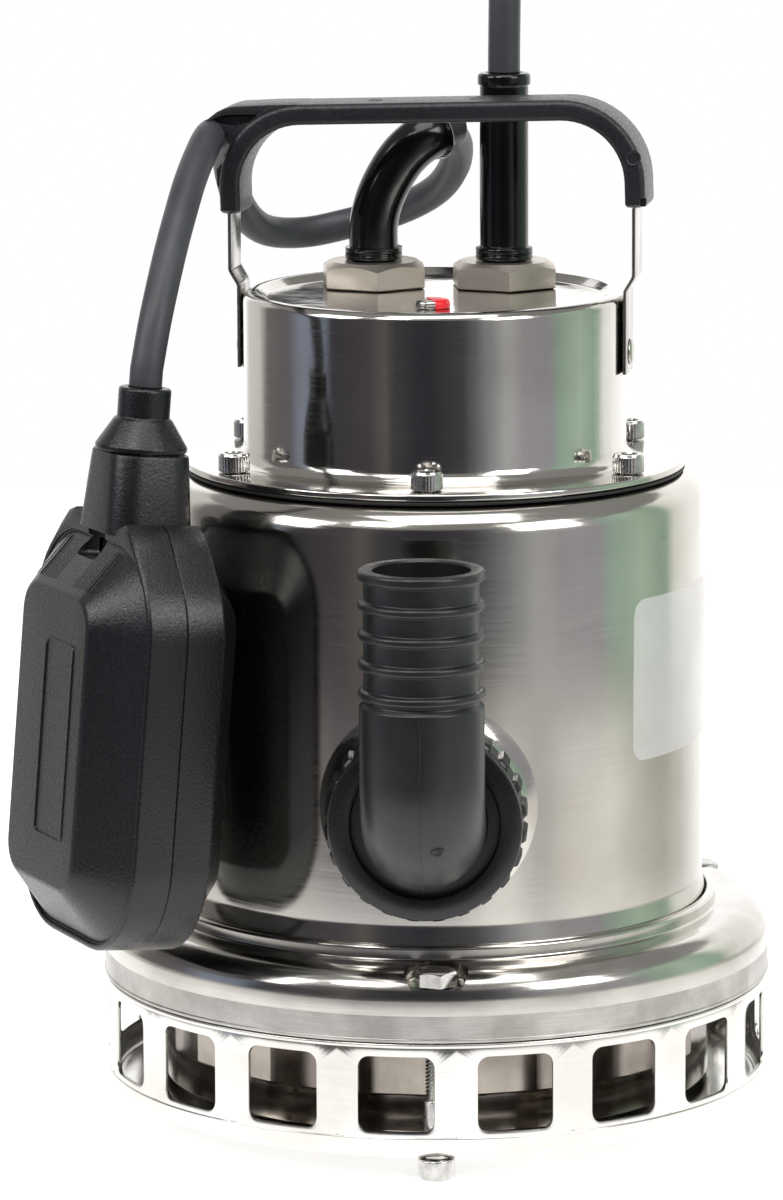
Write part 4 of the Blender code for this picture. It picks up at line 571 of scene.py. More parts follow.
def smooth_path(route: Sequence[Sequence[float]], spacing: float) -> list[Vector]:
    """Evenly spaced points on a smooth curve through a route.

    Args:
        route: points that the curve passes.
        spacing: wanted distance between points.

    Returns:
        Points along the curve, both ends included.
    """
    knots = [Vector(point) for point in route]
    padded = [knots[0] * 2 - knots[1], *knots, knots[-1] * 2 - knots[-2]]
    fine = []
    for i in range(1, len(padded) - 2):
        p0, p1, p2, p3 = padded[i - 1:i + 3]
        for k in range(24):
            t = k / 24
            fine.append(0.5 * (2 * p1 + (p2 - p0) * t + (2 * p0 - 5 * p1 + 4 * p2 - p3) * t ** 2
                               + (3 * p1 - p0 - 3 * p2 + p3) * t ** 3))
    fine.append(knots[-1])
    lengths = [0.0]
    for a, b in zip(fine, fine[1:]):
        lengths.append(lengths[-1] + (b - a).length)
    count = max(2, round(lengths[-1] / spacing))
    points, k = [], 0
    for i in range(count + 1):
        wanted = lengths[-1] * i / count
        while k < len(fine) - 2 and lengths[k + 1] < wanted:
            k += 1
        share = (wanted - lengths[k]) / (lengths[k + 1] - lengths[k])
        points.append(fine[k].lerp(fine[k + 1], min(1.0, share)))
    return points


def tube_rings(stations: Sequence[tuple[Vector, float]], sides: int) -> list[Ring]:
    """Rings square to a run of stations, carried along without twist.

    Args:
        stations: centre and radius of each ring; neighbours may share a centre.
        sides: points in each ring.

    Returns:
        The rings, in order.
    """
    centres = [centre for centre, _ in stations]
    rings = []
    side = None
    for i, (centre, radius) in enumerate(stations):
        ahead = next((c for c in centres[i + 1:] if (c - centre).length > WELD), centre)
        behind = next((c for c in reversed(centres[:i]) if (c - centre).length > WELD), centre)
        along = (ahead - behind).normalized()
        if side is None:
            side = along.orthogonal().normalized()
        side = (side - along * side.dot(along)).normalized()
        up = along.cross(side)
        rings.append([centre + (side * math.cos(a) + up * math.sin(a)) * radius
                      for a in (math.tau * k / sides for k in range(sides))])
    return rings


def straight_ended(route: Sequence[Vector], spacing: float, start: Vector, end: Vector,
                   straight: float = 0.0044) -> list[Vector]:
    """Evenly spaced points along a cord that leaves and arrives straight.

    Args:
        route: points from one end to the other.
        spacing: wanted distance between points.
        start: heading at the first point.
        end: heading at the last point.
        straight: length of each straight end.

    Returns:
        Points along the cord.
    """
    first, last = Vector(route[0]), Vector(route[-1])
    middle = [first + start * straight, *route[1:-1], last - end * straight]
    return [first, *smooth_path(middle, spacing), last]


def run_length(points: Sequence[Vector]) -> float:
    """Length of a run of points."""
    return sum((b - a).length for a, b in zip(points, points[1:]))


def merged(shapes: Iterable[Shape]) -> Shape:
    """Put several shapes into one, freeing the parts."""
    whole = bmesh.new()
    for shape in shapes:
        scratch = bpy.data.meshes.new("scratch")
        shape.to_mesh(scratch)
        shape.free()
        whole.from_mesh(scratch)
        bpy.data.meshes.remove(scratch)
    return whole


def moved(bm: Shape, matrix: Matrix) -> Shape:
    """Move a shape and hand it back."""
    bmesh.ops.transform(bm, matrix=matrix, verts=bm.verts)
    return bm


def eased(bm: Shape, width: float, segments: int = 2,
          least_angle: float = 40.0) -> Shape:
    """Break the sharp edges of a shape.

    Args:
        bm: the shape.
        width: size of the rounding.
        segments: faces across it.
        least_angle: smallest angle between two faces that counts as sharp, in degrees.

    Returns:
        The same shape.
    """
    sharp = [e for e in bm.edges if e.calc_face_angle(0.0) > math.radians(least_angle)]
    bmesh.ops.bevel(bm, geom=sharp, offset=width, offset_type="OFFSET", segments=segments, profile=0.5,
                    affect="EDGES", clamp_overlap=True, material=-1)
    return bm


def combined(target: Shape, tool: Shape,
             operation: str = "DIFFERENCE") -> Shape:
    """Cut or join two closed shapes, with the solver that gives the same mesh on every run.

    Args:
        target: shape that is changed; freed.
        tool: shape that cuts or joins; freed.
        operation: "DIFFERENCE", "UNION" or "INTERSECT".

    Returns:
        The new shape.
    """
    holders = []
    for bm in (target, tool):
        scratch = bpy.data.meshes.new("scratch")
        bm.to_mesh(scratch)
        bm.free()
        holder = bpy.data.objects.new("scratch", scratch)
        bpy.context.collection.objects.link(holder)
        holders.append(holder)
    modifier = holders[0].modifiers.new("cut", "BOOLEAN")
    modifier.operation, modifier.object, modifier.solver = operation, holders[1], "MANIFOLD"
    evaluated = holders[0].evaluated_get(bpy.context.evaluated_depsgraph_get())
    result = bmesh.new()
    result.from_mesh(evaluated.to_mesh())
    evaluated.to_mesh_clear()
    for holder in holders:
        scratch = holder.data
        bpy.data.objects.remove(holder)
        bpy.data.meshes.remove(scratch)
    return result


def hex_head(flats: float, bottom: float, height: float, count: int = SMALL_STEPS,
             shrink: float = 0.95) -> list[Ring]:
    """Rings of a hexagon head whose top corners are cut by a 30 degree cone.

    Args:
        flats: width across flats.
        bottom: height of the bearing face.
        height: height of the head.
        count: points in each ring, a multiple of six.
        shrink: radius of the flat top over half the flats.

    Returns:
        Rings from the bearing face to the flat top.
    """
    top = bottom + height
    upper = hex_ring(flats, top, count)
    slope = math.tan(math.radians(30))
    for point in upper:
        reach = math.hypot(point.x, point.y)
        point.z = top - (reach - flats / 2 * shrink) * slope
    middle = (bottom + top) / 2
    return [hex_ring(flats * 0.985, bottom, count), hex_ring(flats, bottom + flats * 0.01, count),
            hex_ring(flats, middle, count), upper, round_ring(flats / 2 * shrink, top, count)]


@dataclass
class Bench:
    """Where shapes become finished pieces."""

    axis: Vector                        # foot of the motor's axis
    finishes: Finishes
    made: list[bpy.types.Object] = field(default_factory=list)

    def emit(self, name: str, bm: Shape, finish: Finish, body: Body | None, slot: Slot,
             replaces: Sequence[str] = (), place: Matrix | None = None, sharp: float = 32.0,
             below: tuple[float, Finish] | None = None) -> bpy.types.Object:
        """Make an object of a shape, with its material and its body.

        Args:
            name: name of the piece.
            bm: its shape; freed.
            finish: its finish.
            body: moving group that carries it; None leaves it without one.
            slot: material slot of the record; not used.
            replaces: solids that the piece stands for.
            place: from the shape's own frame to the motor's axis; unmoved if left out.
            sharp: edges with a larger angle than this stay sharp, in degrees.
            below: a height, and the finish of the faces under it.

        Returns:
            The object, with its place in its mesh.
        """
        moved(bm, Matrix.Translation(self.axis) @ (place or Matrix()))
        bmesh.ops.recalc_face_normals(bm, faces=bm.faces)
        mesh = bpy.data.meshes.new(name)
        bm.to_mesh(mesh)
        bm.free()
        mesh.shade_smooth()
        mesh.set_sharp_from_angle(angle=math.radians(sharp))
        mesh.materials.append(finish.material())
        if below:
            mesh.materials.append(below[1].material())
            for face in mesh.polygons:
                face.material_index = int(face.center.z < below[0])
        piece = bpy.data.objects.new(name, mesh)
        bpy.context.collection.objects.link(piece)
        self.finish_off(piece, body, slot, replaces)
        return piece

    def finish_off(self, piece: bpy.types.Object, body: Body | None, slot: Slot,
                   replaces: Sequence[str] = ()) -> None:
        """Tie a piece to its body and hide the solids that it stands for."""
        if body:
            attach(piece, body.value)
        if replaces:
            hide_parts(*replaces)
        self.made.append(piece)


@dataclass
class Assembly:
    """A part of the pump that builds its pieces on the bench."""

    bench: Bench

    @property
    def looks(self) -> Finishes:
        """The finishes to choose from."""
        return self.bench.finishes


# ---- base ----
@dataclass
class StrainerBase(Assembly):
    """Strainer with its ring of windows, base cover, tie bolts and feet."""

    radius: float = 0.0918
    wall: float = 0.0012
    floor_z: float = 0.0058
    corner: float = 0.005
    lap_z: float = 0.0121               # where the pan's bead laps the window wall
    seam_z: float = 0.0376
    window_count: int = 18
    first_window: float = 15.3
    window: Triple = (0.0205, 0.0205, 0.003)     # width, height, corner
    window_middle_z: float = 0.02375
    cover_radius: float = 0.092
    cover_shoulder: float = 0.0078
    cover_top_z: float = 0.0567
    satin_z: float = 0.0452             # the wall is ground under this height
    step_inner: float = 0.0748
    step_outer: float = 0.0772
    step_top_z: float = 0.0605
    bolt_circle: float = 0.086
    bolt_azimuths: tuple[float, ...] = (2.0, 122.0, 242.0)
    pocket_radius: float = 0.0085
    pocket_floor_z: float = 0.0522
    head: Pair = (0.010, 0.004)                       # across flats, height
    thread: Pair = (0.003, 0.001)                     # radius, pitch
    foot: Pair = (0.00515, 0.0055)                    # radius, height
    sleeve: Pair = (0.0034, 0.0215)                   # radius, top of the spacer on a bolt
    skirt: Triple = (0.0742, 0.0754, 0.0092)     # radii, lower edge of the casing's skirt

    def build(self) -> None:
        """Build every piece of the base."""
        self._strainer()
        inner, outer, low = self.skirt
        line = softened([(inner, self.seam_z, 0), (inner, low, 0.0003), (outer, low, 0.0005),
                         (outer, self.seam_z, 0)], 4)
        # The skirt wears the casing's darkened steel: painted shade inside the strainer.
        self.bench.emit("casing_skirt", turned(line, SHELL_STEPS, closed=True),
                        self.looks.shadow_steel(), Body.PUMP, Slot.SATIN)
        self._cover()
        for number, azimuth in enumerate(self.bolt_azimuths, 1):
            place = Matrix.Translation(polar(self.bolt_circle, azimuth)) @ spun(azimuth + 12)
            self._bolt(number, place)
            self._foot(number, place)

    def _window_wall(self) -> Shape:
        """Ring of windows: one pitch is bridged flat, curled round the axis and repeated."""
        width, height, corner = self.window
        half_pitch = math.pi * self.radius / self.window_count
        low, high = self.lap_z - 0.0009 - self.window_middle_z, self.seam_z - 0.0006 - self.window_middle_z
        hole, dense = box_ring(width, height, corner, 5), []
        for a, b in zip(hole, hole[1:] + hole[:1]):
            parts = max(1, round((Vector(b) - Vector(a)).length / 0.0036))
            dense += [tuple(Vector(a).lerp(Vector(b), k / parts)) for k in range(parts)]
        frame = []
        for x, z in dense:
            reach = max(abs(x) / half_pitch, z / high if z > 0 else z / low)
            frame.append((x / reach, z / reach))
        bm = bmesh.new()
        loops = []
        for outline in (dense, frame):
            verts = [bm.verts.new((x, 0.0, z)) for x, z in outline]
            loops += [bm.edges.new(pair) for pair in zip(verts, verts[1:] + verts[:1])]
        bmesh.ops.bridge_loops(bm, edges=loops)
        for vert in bm.verts:
            azimuth = math.degrees(vert.co.x / self.radius)
            vert.co = polar(self.radius - TINY_AIR, azimuth + self.first_window,
                            vert.co.z + self.window_middle_z)
        step = math.tau / self.window_count
        bmesh.ops.spin(bm, geom=[*bm.verts, *bm.edges, *bm.faces], cent=(0, 0, 0), axis=(0, 0, 1),
                       angle=math.tau - step, steps=self.window_count - 1, use_duplicate=True)
        bmesh.ops.remove_doubles(bm, verts=bm.verts, dist=WELD * 20)
        bmesh.ops.recalc_face_normals(bm, faces=bm.faces)
        bmesh.ops.solidify(bm, geom=bm.faces, thickness=self.wall)
        bmesh.ops.recalc_face_normals(bm, faces=bm.faces)
        return eased(bm, 0.00022, 2, 60)

    def _strainer(self) -> None:
        """Drawn pan with its rounded bottom, lapped bead and window wall."""
        r, w, z = self.radius, self.wall, self.floor_z
        pan = softened([(0.0, z, 0), (r, z, self.corner), (r, self.lap_z, 0.0004),
                        (r - w, self.lap_z, 0.0004), (r - w, z + w, self.corner - w), (0.0, z + w, 0)], 8)
        bead = softened([(r - w, self.seam_z - 0.0012, 0.0003), (r, self.seam_z - 0.0012, 0.0003),
                         (r + 0.0001, self.seam_z, 0.0004), (r - w, self.seam_z, 0.0003)], 3)
        shape = merged([self._window_wall(), turned(pan, SHELL_STEPS),
                        turned(bead, SHELL_STEPS, closed=True)])
        self.bench.emit("strainer_shell", shape, self.looks.pressed_steel(), Body.PUMP, Slot.SATIN,
                        ["strainer"])

    def _cover(self) -> None:
        """Base cover with step ring, rounded shoulder, rolled foot and three bolt pockets."""
        r, w, top = self.cover_radius, self.wall, self.cover_top_z
        low = self.seam_z + TINY_AIR
        line = softened([(self.step_inner, top - w, 0), (self.step_inner, self.step_top_z, 0.0004),
                         (self.step_outer, self.step_top_z, 0.0010), (self.step_outer, top, 0.0007),
                         (r - 0.0002, top, self.cover_shoulder), (r - 0.0002, self.satin_z, 0),
                         (r - 0.0002, low + 0.0011, 0.0002),
                         (r, low + 0.0009, 0.0003), (r, low, 0.0004), (r - w, low, 0.0002),
                         (r - w, top - w, self.cover_shoulder - w), (self.step_inner, top - w, 0)], 10)
        shape = turned(line[:-1], SHELL_STEPS * 2, closed=True)
        fill = [(self.step_outer - 0.0002, low + 0.004), (r - w / 2, low + 0.004),
                (r - w / 2, top - self.cover_shoulder), (r - self.cover_shoulder, top - w / 2),
                (self.step_outer - 0.0002, top - w / 2)]
        envelope = turned(fill, SHELL_STEPS, closed=True)
        bosses, wells = [], []
        for azimuth in self.bolt_azimuths:
            place = Matrix.Translation(polar(self.bolt_circle, azimuth))
            floor, bore = self.pocket_floor_z, self.pocket_radius
            boss = softened([(0.0, floor - w, 0), (bore + w, floor - w, 0.001), (bore + w, top, 0),
                             (0.0, top, 0)])
            well = softened([(0.0, floor, 0), (bore, floor, 0.0011), (bore, top + 0.01, 0),
                             (0.0, top + 0.01, 0)], 5)
            bosses.append(moved(turned(boss, MEDIUM_STEPS), place))
            wells.append(moved(turned(well, MEDIUM_STEPS), place))
        shape = combined(shape, combined(merged(bosses), envelope, "INTERSECT"), "UNION")
        shape = combined(shape, merged(wells))
        self.bench.emit("base_cover_shell", shape, self.looks.base_steel(), Body.PUMP,
                        Slot.POLISHED, ["base_cover"], sharp=38,
                        below=(self.satin_z, self.looks.satin_steel()))

    def _bolt(self, number: int, place: Matrix) -> None:
        """Hexagon bolt with a real M6 thread on the stretch that shows through the windows."""
        radius, pitch = self.thread
        seat = self.pocket_floor_z + TINY_AIR
        head = skinned(hex_head(self.head[0], seat, self.head[1]))
        sides, low, high = 24, self.floor_z - self.foot[1] + 0.001, 0.045
        count = round((high - low) / pitch * 6)
        rings = []
        for i in range(count + 1):
            z = low + (high - low) * i / count
            ring = []
            for k in range(sides):
                phase = (z / pitch - k / sides) % 1
                depth = 0.7 * pitch * (1 - abs(2 * phase - 1))
                bearing = math.tau * k / sides
                ring.append(Vector(((radius - depth) * math.cos(bearing),
                                    (radius - depth) * math.sin(bearing), z)))
            rings.append(ring)
        rings += [round_ring(radius * 0.9, high + 0.0004, sides),
                  round_ring(radius * 0.98, seat - WELD, sides)]
        girth, rise = self.sleeve
        spacer = turned(softened([(0.0, self.floor_z, 0), (girth, self.floor_z, 0), (girth, rise, 0.0005),
                                  (0.0, rise, 0)], 4), SMALL_STEPS)
        shape = merged([head, skinned(rings), spacer])
        self.bench.emit(f"tie_bolt_{number}_threaded", shape, self.looks.zinc(), Body.PUMP, Slot.ZINC,
                        [f"tie_bolt_{number}"], place)

    def _foot(self, number: int, place: Matrix) -> None:
        """Round foot nut with a rounded rim and a dimple underneath."""
        r, h = self.foot
        line = softened([(0.0, 0.0008, 0), (r * 0.4, 0.0008, 0.0004), (r * 0.55, 0.0, 0.0003),
                         (r, 0.0, 0.0008), (r, h, 0.0005), (0.0, h, 0)], 5)
        self.bench.emit(f"foot_nut_{number}_turned", turned(line, SMALL_STEPS), self.looks.zinc(),
                        Body.PUMP, Slot.ZINC, [f"foot_nut_{number}"], place)


# ---- shell ----
@dataclass
class OuterShell(Assembly):
    """Drawn outer jacket with its outlet collar, and the blank film stuck on it."""

    wall: float = 0.0012
    foot: Pair = (0.0745, 0.0590)            # radius, height
    waist: Pair = (0.0735, 0.0650)
    shoulder_radius: float = 0.0742
    shoulder: float = 0.008
    top_z: float = 0.1770
    lip_radius: float = 0.0560
    outlet: Pair = (0.0005, 0.097)           # x, z of the outlet's axis
    stub_radius: float = 0.0209
    stub_bore: float = 0.016
    stub_end: float = 0.0865
    flare: float = 0.0100
    film_azimuths: Pair = (47.6, 127.0)
    film_z: Pair = (0.105, 0.149)
    film_corner: float = 0.0045
    film_lift: Pair = (0.00003, 0.00013)     # its two faces above the jacket

    def build(self) -> None:
        """Build jacket and film."""
        self._jacket()
        self._film()

    def radius_at(self, z: float) -> float:
        """Outside radius of the jacket's wall at a height between waist and shoulder."""
        share = (z - self.waist[1]) / (self.top_z - self.shoulder - self.waist[1])
        return self.waist[0] + (self.shoulder_radius - self.waist[0]) * share

    def _jacket(self) -> None:
        """Jacket wall, its rounded shoulder and the collar drawn out for the outlet."""
        w, bore = self.wall, self.stub_bore + 0.0015
        outlet_z = self.outlet[1]
        levels = [(self.radius_at(outlet_z + k * bore), outlet_z + k * bore, 0) for k in (-1.05, 1.05)]
        base_z = 0.0443
        outside = [(self.foot[0] - 0.0012, base_z, 0), (self.foot[0] - 0.0002, self.foot[1] - 0.003, 0.002),
                   (self.foot[0], self.foot[1], 0.0012), (*self.waist, 0.006), *levels,
                   (self.shoulder_radius, self.top_z, self.shoulder), (self.lip_radius, self.top_z, 0)]
        inside = [(self.lip_radius, self.top_z - w, 0), (self.shoulder_radius - w, self.top_z - w,
                   self.shoulder - w), (self.waist[0] - w, self.waist[1], 0.006),
                  (self.foot[0] - w - 0.0012, base_z, 0)]
        jacket = turned(softened(outside + inside, 12), SHELL_STEPS * 2, closed=True)
        cutter = moved(turned([(0.0, 0.04), (bore, 0.04), (bore, 0.1), (0.0, 0.1)], MEDIUM_STEPS),
                       self.outlet_matrix())
        shape = merged([combined(jacket, cutter), self._collar()])
        self.bench.emit("outer_jacket_drawn", shape, self.looks.mirror_steel(), Body.PUMP,
                        Slot.POLISHED, ["outer_jacket"], sharp=38)

    def outlet_matrix(self) -> Matrix:
        """From a frame whose Z runs out along the outlet to the axis frame."""
        return Matrix.Translation((self.outlet[0], 0.0, self.outlet[1])) @ spun(90, "X")

    def _collar(self) -> Shape:
        """Collar whose root flows out of the jacket in a fillet."""
        stations = []
        for i in range(15):
            turn = math.radians(90 * i / 14)
            stations.append((self.stub_radius + self.flare * (1 - math.sin(turn)),
                             self.flare * (1 - math.cos(turn)) - 0.0002))
        rings = [self._saddle(radius, lift) for radius, lift in stations]
        end = -self.stub_end
        rings += [self._flat(self.stub_radius, end + 0.0006), self._flat(self.stub_radius - 0.0006, end),
                  self._flat(self.stub_bore + 0.0005, end), self._flat(self.stub_bore, end + 0.0005),
                  self._saddle(self.stub_bore, -0.004)]
        return skinned(rings, joined=True)

    def _saddle(self, radius: float, lift: float) -> Ring:
        """Ring of a radius round the outlet's axis that lies on the jacket, lifted off it."""
        ring = []
        for point in self._flat(radius, 0.0):
            skin = self.radius_at(point.z)
            ring.append(Vector((point.x, -math.sqrt(skin ** 2 - point.x ** 2) - lift, point.z)))
        return ring

    def _flat(self, radius: float, y: float) -> Ring:
        """Upright ring round the outlet's axis."""
        return [Vector((self.outlet[0] + p.x, y, self.outlet[1] + p.y))
                for p in round_ring(radius, 0.0, MEDIUM_STEPS * 2)]

    def _film(self) -> None:
        """Clear film wrapped round the jacket's side."""
        start, end = self.film_azimuths
        low, high = self.film_z
        half, corner = math.radians(end - start) * self.shoulder_radius / 2, self.film_corner
        round_part = [half - corner * (1 - math.cos(math.radians(15 * k))) for k in range(7)]
        straight = [half * (k / 20 - 1) for k in range(1, 40) if half * abs(k / 20 - 1) < half - corner]
        rings = []
        for x in sorted([*round_part, *straight, *(-x for x in round_part)]):
            inset = max(0.0, abs(x) - (half - corner))
            cut = corner - math.sqrt(max(0.0, corner ** 2 - inset ** 2))
            azimuth = (start + end) / 2 + math.degrees(x / self.shoulder_radius)
            inner, outer = self.film_lift
            rings.append([polar(self.radius_at(z) + lift, azimuth, z)
                          for z, lift in ((low + cut, inner), (high - cut, inner),
                                          (high - cut, outer), (low + cut, outer))])
        self.bench.emit("jacket_film", skinned(rings), self.looks.film(), Body.PUMP, Slot.POLISHED)


# ---- motor cover ----
@dataclass
class MotorCover(Assembly):
    """Pressed cover of the motor with its flange, gasket, screws and vent screw."""

    wall: float = 0.0012
    flange_radius: float = 0.0685
    flange_z: Pair = (0.1785, 0.1803)
    cap_radius: float = 0.0523
    fillet: float = 0.0046
    crest_z: float = 0.226
    rim: float = 0.0025
    recess_radius: float = 0.0458
    rim_slope: float = 0.0030           # width of the slope from the recess up to the crest
    recess_z: float = 0.224
    gasket: Triple = (0.0683, 0.1773, 0.1782)   # radius, bottom, top
    screw_circle: float = 0.0612
    screw_count: int = 6
    screw: Pair = (0.00425, 0.005)                    # head radius and height
    socket: Pair = (0.004, 0.0025)                    # across flats, depth
    vent_y: float = -0.0235
    vent: Pair = (0.0046, 0.0022)                     # head radius and height
    slot_width: float = 0.0012
    slot_turn: float = 35.0
    lacquer_turn: float = 18.0          # side of the vent screw that the lacquer covers

    def build(self) -> None:
        """Build every piece of the motor cover."""
        low, high = self.flange_z
        w = self.wall
        outside = [(0.0, self.recess_z, 0), (self.recess_radius, self.recess_z, 0.0018),
                   (self.recess_radius + self.rim_slope, self.crest_z, 0.0012),
                   (self.cap_radius, self.crest_z, self.rim), (self.cap_radius, high, self.fillet),
                   (self.flange_radius, high, 0.0006), (self.flange_radius, low, 0.0005)]
        inside = [(self.cap_radius - w, low, 0.001), (self.cap_radius - w, self.recess_z - w, self.rim),
                  (0.0, self.recess_z - w, 0)]
        cover = turned(softened(outside + inside, 8), SHELL_STEPS * 2)
        self.bench.emit("motor_cover_drawn", cover, self.looks.cap_steel(), Body.PUMP,
                        Slot.POLISHED, ["motor_cover"], sharp=38)
        radius, bottom, top = self.gasket
        ring = softened([(self.cap_radius, bottom, 0), (radius, bottom, 0.0003), (radius, top, 0.0003),
                         (self.cap_radius, top, 0)], 3)
        self.bench.emit("cover_gasket_ring", turned(ring, SHELL_STEPS, closed=True),
                        self.looks.gasket(), Body.PUMP, Slot.GASKET, ["cover_gasket"])
        for number in range(1, self.screw_count + 1):
            azimuth = (number - 1) * 360 / self.screw_count
            self._screw(number, Matrix.Translation(polar(self.screw_circle, azimuth, high + TINY_AIR))
                        @ spun(azimuth * 1.7 + 9))
        self._vent()

    def _screw(self, number: int, place: Matrix) -> None:
        """Socket head screw with a knurled head and a hexagon socket."""
        radius, height = self.screw
        flats, depth = self.socket
        count = FINE_STEPS

        def knurl(bulge: float, z: float) -> Ring:
            """Ring of the knurled side, pulled in between its ridges."""
            return [p * (1 - (0.026 if i % 2 else 0.0) * bulge) + Vector((0, 0, z))
                    for i, p in enumerate(round_ring(radius, 0.0, count))]

        rings = [round_ring(0.0025, -0.0075, count), round_ring(0.0025, -0.0001, count),
                 round_ring(radius * 0.93, 0.0, count), knurl(1, radius * 0.06), knurl(1, height * 0.86),
                 round_ring(radius * 0.955, height * 0.90, count), round_ring(radius * 0.90, height, count),
                 round_ring(flats * 0.64, height, count), hex_ring(flats, height - 0.0004, count),
                 hex_ring(flats, height - depth, count),
                 round_ring(flats * 0.2, height - depth * 1.15, count)]
        self.bench.emit(f"cover_screw_{number}_knurled", skinned(rings), self.looks.zinc(), Body.PUMP,
                        Slot.ZINC, [f"cover_screw_{number}"], place)

    def _vent(self) -> None:
        """Slotted vent screw, half under sealing lacquer."""
        radius, height = self.vent
        line = softened([(0.0, -0.0045, 0), (0.0023, -0.0045, 0.0004), (0.0023, 0.0003, 0),
                         (radius, 0.0003, 0.0002), (radius, height, 0.0009), (0.0, height, 0)], 5)
        slot = bmesh.new()
        turn = Matrix.Translation((0, 0, height)) @ spun(self.slot_turn)
        bmesh.ops.create_cube(slot, size=1.0, matrix=turn @ Matrix.Diagonal(
            (radius * 3, self.slot_width, height * 1.1, 1)))
        place = Matrix.Translation((0.0, self.vent_y, self.recess_z))
        self.bench.emit("vent_screw_slotted", combined(turned(line, MEDIUM_STEPS), slot),
                        self.looks.zinc(), Body.PUMP, Slot.ZINC, ["vent_screw"], place)
        skin = turned(softened([(0.0, 0.0001, 0), (radius + 0.0004, 0.0001, 0.0002),
                                (radius + 0.0004, height + 0.0002, 0.0012), (0.0, height + 0.0003, 0)], 5),
                      MEDIUM_STEPS)
        side = bmesh.new()
        bmesh.ops.create_cube(side, size=1.0, matrix=spun(self.lacquer_turn)
                              @ Matrix.Translation((radius * 0.95, 0, 0))
                              @ Matrix.Diagonal((radius * 2, radius * 3, height * 4, 1)))
        blob = combined(skin, side, "INTERSECT")
        eased(blob, 0.0004, 3)
        self.bench.emit("vent_screw_lacquer", blob, self.looks.lacquer(), Body.PUMP, Slot.ZINC, (),
                        place)


# ---- cable entries ----
@dataclass
class CableEntries(Assembly):
    """Gland nuts and moulded boots of the two cables."""

    power: Pair = (0.0184, 0.0223)
    float_side: Pair = (-0.0176, 0.0223)
    flats: float = 0.027
    nut_z: Pair = (0.2243, 0.2313)
    nut_turn: float = 6.5
    root_radius: float = 0.006
    boot_radius: float = 0.0067
    collar_radius: float = 0.0079
    collar_z: Pair = (0.2316, 0.2350)
    power_top_z: float = 0.283
    lip: Pair = (0.0073, 0.0035)
    cord_radius: float = 0.0044
    bend: tuple[Triple, ...] = (
        (-0.0176, 0.0223, 0.2350), (-0.0175, 0.0223, 0.2415), (-0.0160, 0.0225, 0.2480),
        (-0.0130, 0.0228, 0.2545), (-0.0090, 0.0235, 0.2603), (-0.0040, 0.0250, 0.2645),
        (0.0005, 0.0285, 0.2658))

    def build(self) -> None:
        """Build both nuts and both boots."""
        for name, (x, y) in (("power", self.power), ("float", self.float_side)):
            self._nut(name, Matrix.Translation((x, y, 0)) @ spun(self.nut_turn))
        self._power_boot()
        self._float_boot()

    def bend_heading(self) -> Vector:
        """Heading of the float boot's open end."""
        return (Vector(self.bend[-1]) - Vector(self.bend[-2])).normalized()

    def _nut(self, name: str, place: Matrix) -> None:
        """Hexagon gland nut with a coned top and a countersunk bore."""
        low, high = self.nut_z
        count = FINE_STEPS
        bore = self.root_radius + TINY_AIR
        rings = hex_head(self.flats, low, high - low, count, 0.90)
        rings += [round_ring(bore + 0.0012, high, count), round_ring(bore, high - 0.0010, count),
                  round_ring(bore, low, count)]
        self.bench.emit(f"{name}_gland_hex", skinned(rings, joined=True), self.looks.nickel(),
                        Body.PUMP, Slot.NICKEL, [f"{name}_gland_nut"], place, sharp=24)

    def _collar_line(self) -> list[Triple]:
        """Corners of the double-ring collar, from the root up."""
        low, high = self.collar_z
        middle = (low + high) / 2
        return [(0.0, low - 0.004, 0), (self.root_radius, low - 0.004, 0), (self.root_radius, low, 0),
                (self.collar_radius, low, 0.0006), (self.collar_radius, middle - 0.0002, 0.0006),
                (self.collar_radius - 0.0007, middle, 0.0002), (self.collar_radius, middle + 0.0002, 0.0006),
                (self.collar_radius, high, 0.0006)]

    def _power_boot(self) -> None:
        """Straight boot with its collar and a lip round the cable."""
        top = self.power_top_z
        radius, height = self.lip
        line = [*self._collar_line(), (self.boot_radius, self.collar_z[1] + 0.0003, 0.0003),
                (self.boot_radius, top - height, 0.0003), (radius, top - height + 0.0003, 0.0005),
                (radius, top, 0.0011), (self.cord_radius + 0.0002, top, 0.0003),
                (self.cord_radius + 0.0002, top - 0.004, 0), (0.0, top - 0.004, 0)]
        self.bench.emit("power_boot_moulded", turned(softened(line, 5), MEDIUM_STEPS),
                        self.looks.boot_rubber(), Body.PUMP, Slot.GLOSS_RUBBER, ["power_boot"],
                        Matrix.Translation((*self.power, 0)))

    def _float_boot(self) -> None:
        """Boot that turns over towards the float cable."""
        spine = smooth_path(self.bend, 0.0012)
        start = [(Vector((*self.float_side, z)), r) for r, z in softened(self._collar_line()[1:], 4)]
        tube = [(point, self.boot_radius) for point in spine[:-1]]
        end, heading = spine[-1], self.bend_heading()
        lip = [(end - heading * back, r) for back, r in (
            (0.0022, self.boot_radius), (0.0019, self.boot_radius + 0.0004),
            (0.0006, self.boot_radius + 0.0004),
            (0.0001, self.boot_radius), (0.0, self.boot_radius - 0.0005), (0.0, self.cord_radius + 0.0002),
            (0.003, self.cord_radius + 0.0002))]
        tube = [(p, r) for p, r in tube if (p - end).dot(heading) < -0.0024]
        self.bench.emit("float_boot_moulded", skinned(tube_rings(start + tube + lip, SMALL_STEPS)),
                        self.looks.boot_rubber(), Body.PUMP, Slot.GLOSS_RUBBER, ["float_boot"])


